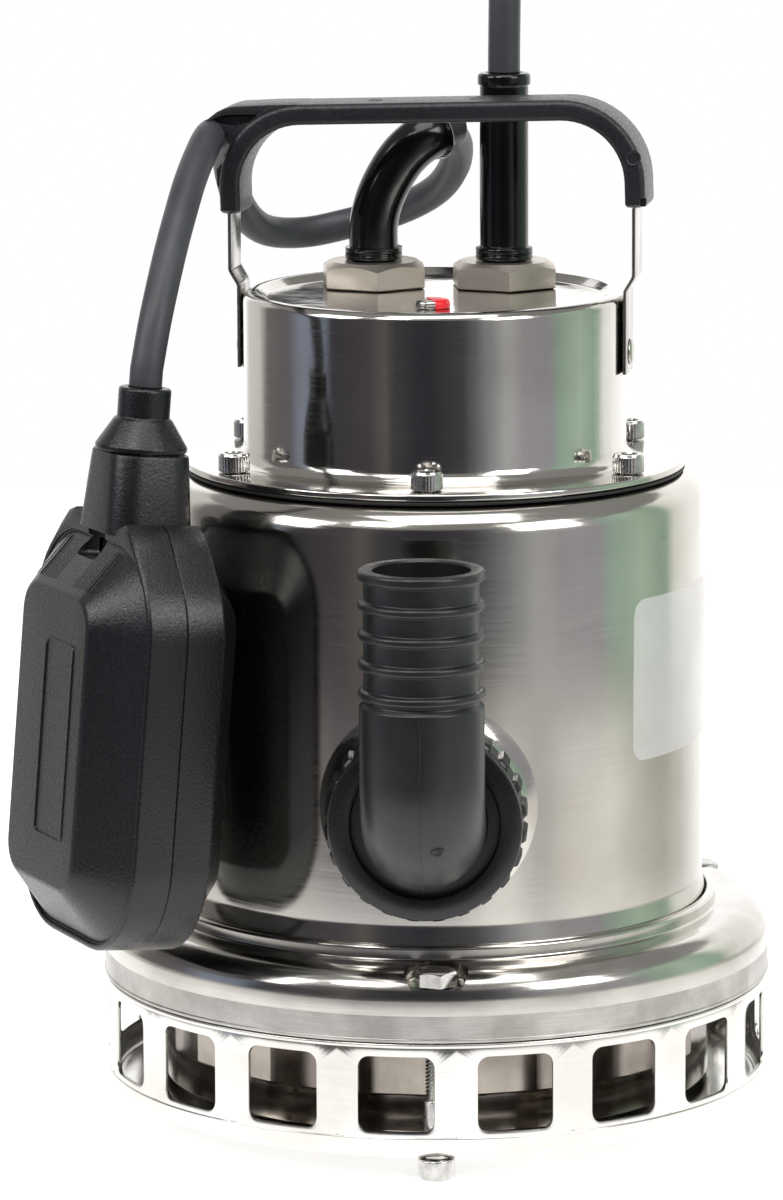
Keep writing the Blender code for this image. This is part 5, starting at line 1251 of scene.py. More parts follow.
# ---- outlet ----
@dataclass
class Outlet(Assembly):
    """Union nut and the elbow with its hose tail."""

    shell: OuterShell
    nut_radius: float = 0.02675
    ribs: int = 24
    rib_depth: float = 0.0012
    nut_back: float = 0.0799
    nut_front: float = 0.0949
    opening: float = 0.0195
    lip: float = 0.003
    cavity: float = 0.0214
    elbow_start: float = 0.0886
    flange: Pair = (0.0205, 0.003)           # radius, thickness
    radius: float = 0.0162
    bore: float = 0.0128
    bend: float = 0.0175
    reach: float = 0.1130
    core: float = 0.015
    ring: Triple = (0.01642, 0.003, 0.0077)      # radius, thickness, pitch
    ring_count: int = 5
    top: float = 0.0715                 # tail's end above the outlet's axis
    gate_azimuth: float = 58.0          # where the mould's gate stands on the bend
    port_seal: Triple = (0.016, 0.0206, 0.0868)  # radii, place along the outlet

    def build(self) -> None:
        """Build seal, nut and elbow."""
        place = self.shell.outlet_matrix()
        inner, outer, start = self.port_seal
        seal = softened([(inner, start, 0), (outer, start, 0.0005), (outer, start + 0.0015, 0.0005),
                         (inner, start + 0.0015, 0)], 4)
        self.bench.emit("port_seal_ring", turned(seal, MEDIUM_STEPS, closed=True),
                        self.looks.gasket(), Body.PUMP, Slot.GASKET, ["port_seal"], place)
        self._nut(place)
        self._elbow(place)

    def _nut(self, place: Matrix) -> None:
        """Union nut: rounded grip ribs between a plain back edge and a broad smooth face."""
        count = self.ribs * 10

        def ribbed(radius: float, z: float, share: float) -> Ring:
            """Ring of the side; `share` is how far its ribs stand out."""
            ring = []
            for i, p in enumerate(round_ring(1.0, 0.0, count)):
                phase = (i / count * self.ribs) % 1
                rib = min(1.0, max(0.0, 2.2 * math.cos((phase - 0.5) * math.tau) + 0.3)) * share
                ring.append(p * (radius + self.rib_depth * rib) + Vector((0, 0, z)))
            return ring

        r, back, front = self.nut_radius - self.rib_depth, self.nut_back, self.nut_front
        side = ((r - 0.0009, back, 0.3), (r - 0.0002, back + 0.0002, 0.8), (r, back + 0.0008, 1),
                (r, front - 0.0052, 1), (r, front - 0.0044, 0.85), (r, front - 0.0038, 0.4),
                (r, front - 0.0035, 0), (r, front - 0.0009, 0), (r - 0.0003, front - 0.0003, 0),
                (r - 0.0009, front, 0))
        bore = ((self.opening + 0.0009, front, 0), (self.opening + 0.0003, front - 0.0002, 0),
                (self.opening, front - 0.0008, 0), (self.opening, front - self.lip, 0),
                (self.cavity, front - self.lip, 0), (self.cavity, back + 0.0006, 0),
                (self.cavity + 0.0006, back, 0))
        rings = [ribbed(*step) for step in (*side, *bore)]
        self.bench.emit("union_nut_ribbed", skinned(rings, joined=True), self.looks.nut_black(),
                        Body.UNION_NUT, Slot.BLACK, ["union_nut"], place)

    def _elbow(self, place: Matrix) -> None:
        """Elbow swept from its flange round the bend, with rounded barbs and a parting line."""
        turn = self.reach - self.bend
        flange_radius, flange_depth = self.flange
        start = self.elbow_start
        axis_line = [(Vector((0, 0, z)), r) for r, z in (
            (flange_radius - 0.0005, start), (flange_radius, start + 0.0005),
            (flange_radius, start + flange_depth - 0.0005), (flange_radius - 0.0005, start + flange_depth),
            (self.radius + 0.0003, start + flange_depth), (self.radius, start + flange_depth + 0.0004),
            (self.radius, turn))]
        steps = 20
        arc = [Vector((0, self.bend * (1 - math.cos(a)), turn + self.bend * math.sin(a)))
               for a in (math.pi / 2 * i / steps for i in range(1, steps + 1))]
        outer = axis_line + [(p, self.radius) for p in arc]
        outer += [(Vector((0, y, self.reach)), r) for r, y in self._tail_line()]
        inner = [(Vector((0, self.top, self.reach)), self.bore + 0.0005),
                 (Vector((0, self.top - 0.0005, self.reach)), self.bore)]
        inner += [(p, self.bore) for p in reversed(arc)]
        inner += [(Vector((0, 0, turn)), self.bore), (Vector((0, 0, start)), self.bore)]
        walls = (tube_rings(outer, FINE_STEPS), tube_rings(list(reversed(inner)), FINE_STEPS))
        body = skinned([*walls[0], *reversed(walls[1])], joined=True)
        seam = [Vector((0, -self.radius, turn - 0.002))]
        seam += [Vector((0, self.bend - (self.bend + self.radius) * math.cos(a),
                         turn + (self.bend + self.radius) * math.sin(a)))
                 for a in (math.pi / 2 * i / 14 for i in range(15))]
        seam.append(Vector((0, self._tail_start() - 0.001, self.reach + self.radius)))
        line = skinned(tube_rings([(p, 0.00022) for p in seam], 8))
        gate = turned(softened([(0.0, 0.0003, 0), (0.0016, 0.0003, 0.0002), (0.0019, -0.0004, 0),
                                (0.0, -0.0004, 0)], 3), SMALL_STEPS)
        gate_turn, reach = math.radians(self.gate_azimuth), self.bend + self.radius - 0.0006
        place_on_bend = Matrix.Translation((0.0042, self.bend - reach * math.cos(gate_turn),
                                            turn + reach * math.sin(gate_turn)))
        moved(gate, place_on_bend @ spun(self.gate_azimuth - 90, "X"))
        self.bench.emit("elbow_moulded", merged([body, line, gate]), self.looks.elbow_black(),
                        Body.ELBOW, Slot.BLACK, ["elbow"], place, sharp=40)

    def _tail_start(self) -> float:
        """Height above the outlet's axis where the tail's core begins."""
        _, thickness, pitch = self.ring
        return self.top - thickness / 2 - pitch * (self.ring_count - 1) - thickness

    def _tail_line(self) -> Profile:
        """Radius and height along the hose tail: a step down to the core, then rounded barbs."""
        radius, thickness, pitch = self.ring
        foot = self._tail_start()
        corners = [(self.radius, self.bend + 0.002, 0), (self.radius, foot - 0.0004, 0.0007),
                   (self.core, foot + 0.0008, 0.0007)]
        for i in range(self.ring_count):
            middle = self.top - thickness / 2 - pitch * (self.ring_count - 1 - i)
            tall = thickness / 2 * (1.0 if i == self.ring_count - 1 else 0.86)
            corners += [(self.core, middle - tall, 0.0004), (radius, middle - tall * 0.75, 0.0009),
                        (radius, middle + tall * (1.0 if i == self.ring_count - 1 else 0.75), 0.0009)]
            if i < self.ring_count - 1:
                corners.append((self.core, middle + tall, 0.0004))
        corners.append((self.bore + 0.0005, self.top, 0))
        return softened(corners, 4)[1:]


# ---- handle ----
@dataclass
class Handle(Assembly):
    """Moulded grip with its cable clip, on two riveted strips."""

    turn: float = -7.4                  # degrees about the motor's axis
    tilt: float = -1.7                  # degrees about the handle's own normal
    half_width: float = 0.0583
    thickness: float = 0.0056
    depth: float = 0.020
    top_z: float = 0.2778
    leg_end_z: float = 0.2485
    corner: float = 0.0226
    edge: float = 0.0016
    clip_tip: float = 0.0619
    seat: Triple = (-0.0603, 0.2678, 0.0050)    # u, z and radius round the cable
    finger_z: Pair = (0.2537, 0.2608)
    marks: tuple[Pair, ...] = ((-0.016, 0.0), (0.012, 0.0))      # ejector pins on top
    strip: Pair = (0.014, 0.0010)                     # width, thickness
    strip_high: float = 0.0555          # distances of the strips from the axis
    strip_low: float = 0.0531
    jog_z: Pair = (0.2310, 0.2270)
    strip_end_z: float = 0.2045
    rivet_z: float = 0.2100
    rivet: Pair = (0.0036, 0.0012)                    # head radius and height

    def build(self) -> None:
        """Build grip, strips and rivets."""
        self._grip()
        for side, name in ((-1, "left"), (1, "right")):
            self._strip(side, name)
            self._rivet(side, name)

    def frame(self) -> Matrix:
        """From the handle's plane (u across, z up, y through) to the axis frame."""
        return spun(self.turn)

    def grip_frame(self) -> Matrix:
        """The handle's plane, tilted with the grip."""
        pivot = self.top_z - self.thickness
        return (self.frame() @ Matrix.Translation((0, 0, pivot)) @ spun(self.tilt, "Y")
                @ Matrix.Translation((0, 0, -pivot)))

    def _bar(self) -> Shape:
        """The grip itself: a soft-edged flat bar bent twice."""
        mean = self.corner - self.thickness / 2
        half = self.half_width - self.thickness / 2
        centre_u, centre_z = self.half_width - self.corner, self.top_z - self.corner
        line = [(-half, self.leg_end_z), (-half, self.leg_end_z + 0.0008)]
        line += [(-half, self.leg_end_z + 0.0040), (-half, centre_z)]
        line += [(-centre_u - mean * math.cos(a), centre_z + mean * math.sin(a))
                 for a in (math.pi / 2 * i / 14 for i in range(1, 15))]
        line += [(0.0, self.top_z - self.thickness / 2)]
        line += [(-u, z) for u, z in reversed(line[:-1])]
        section = box_ring(self.thickness, self.depth, self.edge, 5)
        return bent_bar(line, section, 1 - 0.0008 / self.thickness)

    @staticmethod
    def plate(outline: Profile, front: float, back: float, edge: float) -> Shape:
        """Flat plate whose outline lies in the handle's plane, its edges softened."""
        bm = skinned([[Vector((u, y, z)) for u, z in outline] for y in (front, back)])
        return eased(bm, edge, 3, 25)

    def _clip(self) -> Shape:
        """Hook over the cable's seat with its lens-shaped recess, its root web and the finger under it."""
        half = self.depth / 2
        u, z, radius = self.seat
        top, tip = self.top_z, -self.clip_tip
        hook = softened([(-0.036, top - 0.0040, 0), (-0.036, top, 0), (-0.0440, top, 0.020),
                         (-0.0545, top - 0.0003, 0.008), (-0.0578, top - 0.0014, 0.004),
                         (tip, z + radius + 0.0006, 0.0008), (tip + 0.0001, z + radius - 0.0014, 0.0004),
                         (-0.0590, z + radius - 0.0024, 0.002), (-0.0560, z + 0.0006, 0.004),
                         (-0.0535, z - 0.0020, 0.001), (-0.0500, z, 0)], 6)
        lens = softened([(-0.0595, 0.2742, 0), (-0.0560, 0.2753, 0.004), (-0.0466, 0.2754, 0.0003),
                         (-0.0490, 0.2734, 0.004), (-0.0530, 0.2722, 0.006), (-0.0575, 0.2731, 0.003),
                         (-0.0595, 0.2742, 0)], 5)[:-1]
        web = [(-0.0450, 0.2750), (-0.0595, 0.2745), (-0.0584, z), (-0.0555, 0.2600), (-0.0500, 0.2650)]
        low, high = self.finger_z
        root = -self.half_width + self.thickness / 2
        finger = softened([(root, low, 0), (tip + 0.0004, low + 0.0002, 0.0012), (tip + 0.0004, high - 0.0012,
                           0.0010), (tip + 0.0016, high, 0.0008), (root, high + 0.0008, 0)], 4)
        plates = [(hook, -half + 0.0006, half - 0.0006), (web, -half + 0.0030, half - 0.0030)]
        recess = skinned([[Vector((x, y, v)) for x, v in lens] for y in (-half - 0.001, -half + 0.0065)])
        shapes = []
        for outline, front, back in plates:
            cable = moved(turned([(0.0, -half - 0.002), (radius, -half - 0.002), (radius, half + 0.002),
                                  (0.0, half + 0.002)], SMALL_STEPS),
                          Matrix.Translation((u, 0, z)) @ spun(90, "X"))
            shapes.append(combined(skinned([[Vector((x, y, v)) for x, v in outline]
                                            for y in (front, back)]), cable))
        shapes[0] = eased(combined(shapes[0], recess), 0.0004, 2, 50)
        return merged([*shapes, self.plate(finger, half - 0.0067, half - 0.0007, 0.0005)])

    @staticmethod
    def _mark(radius: float, rise: float, floor: float) -> Shape:
        """Ring left by an ejector pin, round a dimple whose radius is `floor`."""
        line = [(0.0, -0.001, 0), (radius, -0.001, 0), (radius, rise, 0.0001), (0.0018, rise, 0.0001),
                (floor, 0.00002, 0), (0.0, 0.00002, 0)]
        return turned(softened(line, 2), SMALL_STEPS)

    def _grip(self) -> None:
        """Grip with clip, ejector marks and the notch at the right leg's corner."""
        shape = self._bar()
        marks = [moved(self._mark(0.0021, 0.00012, 0.0017), Matrix.Translation((u, y, self.top_z)))
                 for u, y in self.marks]
        leg = Matrix.Translation((self.half_width - self.thickness / 2 - 0.0001, -self.depth / 2, 0.262))
        marks.append(moved(self._mark(0.0022, 0.0002, 0.0016), leg @ spun(90, "X")))
        notch = bmesh.new()
        bmesh.ops.create_cube(notch, size=1.0, matrix=Matrix.Translation((self.half_width, -self.depth / 2,
                              self.leg_end_z)) @ Matrix.Diagonal((0.0030, 0.0070, 0.0050, 1)))
        shape = combined(shape, notch)
        self.bench.emit("handle_grip_moulded", merged([shape, self._clip(), *marks]),
                        self.looks.moulded_black(), Body.PUMP, Slot.BLACK, ["handle_grip"],
                        self.grip_frame(), sharp=35)

    def _strip(self, side: int, name: str) -> None:
        """Joggled strip from the grip's leg down the cover's wall."""
        width, thickness = self.strip
        lean = math.tan(math.radians(self.tilt)) * self.strip_high * -side
        top = self.leg_end_z + lean - TINY_AIR * 1.5
        middle = softened([(self.strip_high, top, 0), (self.strip_high, self.jog_z[0], 0.0022),
                           (self.strip_low, self.jog_z[1], 0.0022), (self.strip_low, self.strip_end_z, 0)], 6)
        bar = bent_bar([(side * u, z) for u, z in middle], box_ring(thickness, width, thickness * 0.35, 2))
        self.bench.emit(f"{name}_strip_brushed", bar, self.looks.strip_steel(), Body.PUMP,
                        Slot.SATIN, [f"{name}_strip"], self.frame())

    def _rivet(self, side: int, name: str) -> None:
        """Domed rivet that holds a strip to the cover."""
        radius, height = self.rivet
        face = self.strip_low + self.strip[1] / 2 + TINY_AIR / 3
        line = softened([(0.0, face - 0.0030, 0), (0.0017, face - 0.0030, 0), (0.0017, face, 0),
                         (radius, face, 0.0001), (radius * 0.86, face + height * 0.72, 0.0016),
                         (0.0, face + height, 0)], 6)
        place = self.frame() @ Matrix.Translation((0, 0, self.rivet_z)) @ spun(90 * side, "Y")
        self.bench.emit(f"{name}_rivet_domed", turned(line, SMALL_STEPS), self.looks.strip_steel(),
                        Body.PUMP, Slot.SATIN, [f"{name}_rivet"], place)


# ---- float switch ----
@dataclass
class FloatSwitch(Assembly):
    """Two-part float with its neck and cable nut, in a frame with its length upright."""

    centre: Triple = (-0.0816, -0.0621, 0.1142)     # from the motor's axis
    azimuth: float = -62.0
    lean: float = 5.0
    size: Triple = (0.0779, 0.110, 0.043)           # width, height, thickness
    band: float = 0.011                 # half of the straight edge band
    corner: float = 0.026
    label: Triple = (0.044, 0.078, 0.008)           # width, height, corner
    plate: Four = (0.019, 0.053, 0.0022, 0.005)  # width, height, corner, offset
    wall: float = 0.0022
    ear: Triple = (0.0046, 0.0185, 0.0125)          # height, place, half width
    pocket: Triple = (0.0062, -0.0135, 0.0480)      # radius, place, floor
    seam: float = 0.00005
    neck: Four = (0.030, 0.024, 0.025, 0.022)
    neck_z: Pair = (0.0553, 0.0765)
    neck_corner: float = 0.007
    nut: Pair = (0.0122, 0.0082)                          # radius, height
    collar: Pair = (0.0070, 0.0085)
    steps: int = 10

    def matrix(self) -> Matrix:
        """From the float's own frame to the axis frame."""
        return Matrix.Translation(self.centre) @ spun(self.azimuth) @ spun(-self.lean, "X")

    def cable_entry(self) -> tuple[Vector, Vector]:
        """Where the cable meets the nut, and the direction up out of it, in the axis frame."""
        top = self.neck_z[1] + TINY_AIR + self.nut[1] + self.collar[1] + TINY_AIR
        return self.matrix() @ Vector((0, 0, top)), self.matrix().to_3x3() @ Vector((0, 0, 1))

    def build(self) -> None:
        """Build both halves, the neck and the nut."""
        for side, name in ((-1, "front"), (1, "rear")):
            self._half(side, name)
        self._neck()
        self._nut()

    def _outline(self, share: float, inset: float = 0.0) -> list[Pair]:
        """Outline between the float's rim (share 0) and its label field (share 1)."""
        rim = box_ring(self.size[0] - 2 * inset, self.size[1] - 2 * inset, self.corner - inset, self.steps)
        field_ = box_ring(*self.label, self.steps)
        return [(a[0] + (b[0] - a[0]) * share, a[1] + (b[1] - a[1]) * share) for a, b in zip(rim, field_)]

    def _half(self, side: int, name: str) -> None:
        """One half: straight band, broad chamfers and the label field with its shallow plate."""
        face, run = self.size[2] / 2, (self.size[0] - self.label[0]) / 2
        line = softened([(0.0002, self.seam, 0), (0.0, self.seam + 0.0002, 0.0001), (0.0, self.band, 0.0010),
                         (0.0017, self.band, 0.0005), (0.0019, self.band - 0.0014, 0.0003),
                         (run, face, 0.0030), (run * 1.2, face, 0)], 6)
        rings = []
        for across, y in line[:-1]:
            outline = self._outline(across / run)
            lift = self.ear[0] * max(0.0, 1 - across / 0.0016)
            rings.append([Vector((x, side * y, z + lift * self._ear(x, z))) for x, z in outline])
        width, height, corner, offset = self.plate
        for grow, depth in ((0.0, 0.0), (-0.0003, -0.0003), (-0.0012, -0.0003), (-0.0016, 0.0001)):
            outline = box_ring(width + grow, height + grow, corner + grow / 2, self.steps)
            rings.append([Vector((x + offset, side * (face - depth), z)) for x, z in outline])
        inner = [(self.wall, self.seam), (self.wall, self.band - 0.0025)]
        back = [[Vector((x, side * y, z)) for x, z in self._outline(0, inset)] for inset, y in inner]
        shape = skinned(list(reversed(back)) + rings)
        if side < 0:
            radius, place, floor = self.pocket
            well = turned(softened([(0.0, floor, 0), (radius, floor, 0.0015), (radius, 0.062, 0),
                                    (0.0, 0.062, 0)], 4), SMALL_STEPS)
            shape = combined(shape, moved(well, Matrix.Translation((0, place, 0))))
        extras = [shape, *self._ribs(side)]
        self.bench.emit(f"float_{name}_moulded", merged(extras), self.looks.float_black(),
                        Body.FLOAT, Slot.BLACK, [f"float_{name}_shell"], self.matrix(), sharp=28)

    def _ear(self, x: float, z: float) -> float:
        """How far the band's ear stands up at a place on its outline, from 0 to 1."""
        if z <= 0:
            return 0.0
        _, middle, half = self.ear
        away = min(1.0, abs(abs(x) - middle) / half)
        return (1 + math.cos(math.pi * away)) / 2

    def _ribs(self, side: int) -> list[Shape]:
        """Fine upright ribs on the chamfer above the label field."""
        face, top = self.size[2] / 2, self.size[1] / 2
        label_top = self.label[1] / 2
        slope = (face - self.band + 0.0014) / (top - 0.0019 - label_top)
        ribs = []
        for i in range(-11, 12):
            x = i * 0.0016
            if side < 0 and abs(x) < self.pocket[0]:
                continue
            low, high = (Vector((x, side * (face - (z - label_top) * slope), z))
                         for z in (label_top + 0.0020, top - 0.0034))
            rings = tube_rings([(low.lerp(high, t), r) for t, r in ((0.0, 0.00005), (0.05, 0.00013),
                                                                    (0.95, 0.00013), (1.0, 0.00005))], 8)
            ribs.append(skinned(rings))
        return ribs

    def _neck(self) -> None:
        """Tapering neck."""
        low, high = self.neck_z
        wide, deep, top_wide, top_deep = self.neck
        rings = []
        for z, share, inset in ((low, 0, 0.0), (low + 0.002, 0.1, 0.0), (high - 0.0008, 1, 0.0),
                                (high - 0.0002, 1, 0.0004), (high, 1, 0.001)):
            outline = box_ring(wide + (top_wide - wide) * share - inset, deep + (top_deep - deep) * share
                               - inset, self.neck_corner, 6)
            rings.append([Vector((x, y, z)) for x, y in outline])
        shape = skinned(rings)
        self.bench.emit("float_neck_moulded", shape, self.looks.float_black(),
                        Body.FLOAT, Slot.BLACK, ["float_neck"], self.matrix(), sharp=30)

    def _nut(self) -> None:
        """Coned nut and the collar that grips the cable."""
        radius, height = self.nut
        collar, rise = self.collar
        base = self.neck_z[1] + TINY_AIR
        top = base + height
        line = softened([(0.0, base, 0), (radius, base, 0.0005), (radius, base + height * 0.16, 0.0008),
                         (collar + 0.0008, top, 0.0010), (collar, top + 0.0006, 0.0006),
                         (collar, top + rise, 0.0009), (0.0047, top + rise, 0.0003),
                         (0.0047, top + rise - 0.0015, 0), (0.0, top + rise - 0.0015, 0)], 5)
        self.bench.emit("float_nut_coned", turned(line, MEDIUM_STEPS), self.looks.float_black(),
                        Body.FLOAT, Slot.BLACK, ["float_nut"], self.matrix())


# ---- cords ----
@dataclass
class Cords(Assembly):
    """Power cord with its coil and plug, and the float's cable."""

    entries: CableEntries
    float_switch: FloatSwitch
    radius: float = 0.0044
    spacing: float = 0.006
    coil_centre: Pair = (-0.018, 0.190)
    coil_layers: int = 4
    coil_turns: float = 9 + 1 / 6
    coil_radius: float = 0.0745
    coil_air: float = 0.0006
    points_per_turn: int = 24
    plug_distance: float = 0.074
    plug_radius: float = 0.0192
    plug_height: float = 0.021
    entry_z: float = 0.0105
    relief: Pair = (0.024, 0.0075)            # length, radius
    pin: Triple = (0.0024, 0.019, 0.019)  # radius, length, spacing
    clip: Triple = (-0.0598, 0.0078, 0.2678)
    loop: tuple[Triple, ...] = (
        (0.0035, 0.0350, 0.2650), (0.0048, 0.0450, 0.2605), (0.0035, 0.0560, 0.2535),
        (-0.0020, 0.0680, 0.2455), (-0.0130, 0.0770, 0.2388), (-0.0270, 0.0795, 0.2347),
        (-0.0400, 0.0755, 0.2325), (-0.0505, 0.0655, 0.2345), (-0.0560, 0.0530, 0.2418),
        (-0.0580, 0.0400, 0.2520), (-0.0584, 0.0290, 0.2612), (-0.0585, 0.0180, 0.2672))
    drop: tuple[Triple, ...] = (
        (-0.0611, -0.0021, 0.2675), (-0.0629, -0.0120, 0.2635), (-0.0648, -0.0220, 0.2579),
        (-0.0666, -0.0318, 0.2506), (-0.0686, -0.0412, 0.2418), (-0.0706, -0.0492, 0.2318),
        (-0.0722, -0.0545, 0.2232))
    power: tuple[Triple, ...] = (
        (0.0186, 0.0222, 0.3035), (0.0188, 0.0240, 0.3200), (0.0186, 0.0320, 0.3352),
        (0.0182, 0.0450, 0.3444), (0.0178, 0.0620, 0.3476), (0.0174, 0.0790, 0.3444),
        (0.0170, 0.0930, 0.3348), (0.0168, 0.1005, 0.3190), (0.0166, 0.1025, 0.3000),
        (0.0166, 0.1030, 0.2700), (0.0180, 0.1040, 0.2200), (0.0250, 0.1065, 0.1700),
        (0.0370, 0.1120, 0.1200), (0.0510, 0.1220, 0.0780), (0.0600, 0.1380, 0.0480),
        (0.0640, 0.1540, 0.0360))

    def build(self) -> None:
        """Build both cords."""
        self._float_cable()
        self._power_cord()

    def _float_cable(self) -> None:
        """Float cable from its boot through the clip to the float."""
        leaving = self.entries.bend_heading()
        end, up = self.float_switch.cable_entry()
        start = Vector(self.entries.bend[-1]) + leaving * TINY_AIR
        points = straight_ended([start, *self.loop, Vector(self.clip), *self.drop, end],
                                self.spacing / 2, leaving, -up)
        shape = skinned(tube_rings([(p, self.radius) for p in points], CORD_SIDES))
        cable = self.bench.emit("float_cable_sheath", shape, self.looks.cable_rubber(), None,
                                Slot.CABLE, ["float_cable_loop", "float_cable_drop"])
        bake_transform(cable)
        LOG.info("float cable %.3f m", run_length(points))

    def _coil(self) -> list[Vector]:
        """Points of the coil, layer by layer down to the floor."""
        pitch = 2 * self.radius + self.coil_air
        per_layer = self.coil_turns / self.coil_layers
        outer = self.coil_radius + pitch * per_layer / 2
        top = TINY_AIR + self.radius + pitch * (self.coil_layers - 1)
        count = round(self.coil_turns * self.points_per_turn)
        points = []
        for i in range(count + 1):
            turns = self.coil_turns * i / count
            layer = min(int(turns / per_layer), self.coil_layers - 1)
            within = turns - layer * per_layer
            radius = outer - pitch * (within if layer % 2 == 0 else per_layer - within)
            nearest = round(turns / per_layer)
            level = float(layer)
            if 0 < nearest < self.coil_layers and abs(turns - nearest * per_layer) < 0.25:
                level = nearest - 0.5 + (turns - nearest * per_layer) / 0.5
            angle = math.tau * turns
            points.append(Vector((self.coil_centre[0] + radius * math.cos(angle),
                                  self.coil_centre[1] + radius * math.sin(angle), top - pitch * level)))
        return points

    def _coil_end(self, point: Vector, sign: int) -> tuple[Vector, Vector]:
        """Point one diameter beyond an end of the coil, and the cord's heading there."""
        out = Vector((point.x - self.coil_centre[0], point.y - self.coil_centre[1], 0)).normalized()
        along = Vector((-out.y, out.x, 0))
        return point + along * (sign * 2 * self.radius), along

    def _power_cord(self) -> None:
        """Power cord in one piece, from its boot over the arch and round the coil to the plug."""
        coil = self._coil()
        before, heading_in = self._coil_end(coil[0], -1)
        after, heading_out = self._coil_end(coil[-1], 1)
        start = Vector((*self.entries.power, self.entries.power_top_z + TINY_AIR))
        run = straight_ended([start, *self.power, before], self.spacing, Vector((0, 0, 1)), heading_in)
        relief_start = self.plug_distance - self.plug_radius - self.relief[0]
        tail_end = coil[-1].copy()
        tail_end.z = self.entry_z + TINY_AIR
        tail_end += heading_out * (relief_start - TINY_AIR)
        tail = straight_ended([after, tail_end], self.spacing, heading_out, heading_out)
        points = [p + self.bench.axis for p in [*run, *coil, *tail]]
        curve = bpy.data.curves.new("power_cord_sheath", "CURVE")
        curve.dimensions = "3D"
        curve.bevel_depth, curve.bevel_resolution, curve.use_fill_caps = self.radius, 4, True
        spline = curve.splines.new("POLY")
        spline.points.add(len(points) - 1)
        for target, point in zip(spline.points, points):
            target.co = (*point, 1.0)
        curve.materials.append(self.looks.cable_rubber().material())
        cord = bpy.data.objects.new("power_cord_sheath", curve)
        bpy.context.collection.objects.link(cord)
        self.bench.finish_off(cord, Body.PUMP, Slot.CABLE, ["power_cable", "power_coil", "power_tail"])
        place = Vector((coil[-1].x, coil[-1].y, TINY_AIR)) + heading_out * self.plug_distance
        plug = self._plug(Matrix.Translation(place) @ Matrix.Rotation(
            math.atan2(heading_out.y, heading_out.x), 4, "Z"))
        LOG.info("power cord %.3f m", run_length(points))

    def _plug(self, place: Matrix) -> list[bpy.types.Object]:
        """Angled mains plug on its back, its pins up."""
        r, h = self.plug_radius, self.plug_height
        body = softened([(0.0, 0.0, 0), (r, 0.0, 0.003), (r, h, 0.0016), (r - 0.0045, h, 0.0006),
                         (r - 0.0052, h - 0.0008, 0.0004), (0.0, h - 0.0008, 0)], 6)
        length, wide = self.relief
        line = [(-r * 0.7, wide), (-r - 0.001, wide)]
        for i in range(6):
            x = -r - 0.003 - i * 0.0034
            girth = wide - i * 0.00035
            line += [(x, girth), (x - 0.0004, girth - 0.0008), (x - 0.0013, girth - 0.0008),
                     (x - 0.0017, girth)]
        line += [(-r - length + 0.0002, self.radius + 0.0012), (-r - length, self.radius + 0.0008)]
        relief = skinned(tube_rings([(Vector((x, 0, self.entry_z)), g) for x, g in line], SMALL_STEPS))
        shell = self.bench.emit("power_plug_body", merged([turned(body, MEDIUM_STEPS), relief]),
                                self.looks.nut_black(), Body.PUMP, Slot.BLACK, ["power_plug"], place)
        radius, reach, spacing = self.pin
        pin = softened([(0.0, h - 0.002, 0), (radius, h - 0.002, 0), (radius, h + reach, 0.0012),
                        (0.0, h + reach, 0)], 5)
        pins = merged([moved(turned(pin, SMALL_STEPS), Matrix.Translation((0, side * spacing / 2, 0)))
                       for side in (-1, 1)])
        metal = self.bench.emit("power_plug_pins", pins, self.looks.nickel(), Body.PUMP, Slot.NICKEL,
                                (), place)
        return [shell, metal]


# ---- inside ----
@dataclass
class InnerParts:
    """Finishes of the sealed solids, which keep their own shape."""

    finishes: Finishes
    nodes: dict[str, bpy.types.Object]

    def build(self) -> None:
        """Give each sealed solid its finish."""
        groups: dict[Callable[[], Finish], tuple[str, ...]] = {
            # The casing's steel is darkened: painted shade inside the strainer.
            self.finishes.shadow_steel: ("pump_casing", "motor_housing", "oil_chamber_cover"),
            self.finishes.zinc: ("shaft", "impeller_nut", "lower_bearing", "upper_bearing", "float_ball"),
            self.finishes.nut_black: ("impeller", "seal_face", "capacitor"),
            self.finishes.ceramic: ("seal_seat",),
            self.finishes.cast_aluminium: ("lower_bracket", "upper_bracket"),
            self.finishes.lamination: ("stator_core", "rotor_core"),
            self.finishes.copper: ("lower_winding", "upper_winding"),
            self.finishes.light_plastic: ("terminal_plate", "float_switch"),
        }
        for finish, names in groups.items():
            for name in names:
                mesh = self.nodes[name].data
                mesh.materials.clear()
                mesh.materials.append(finish().material())


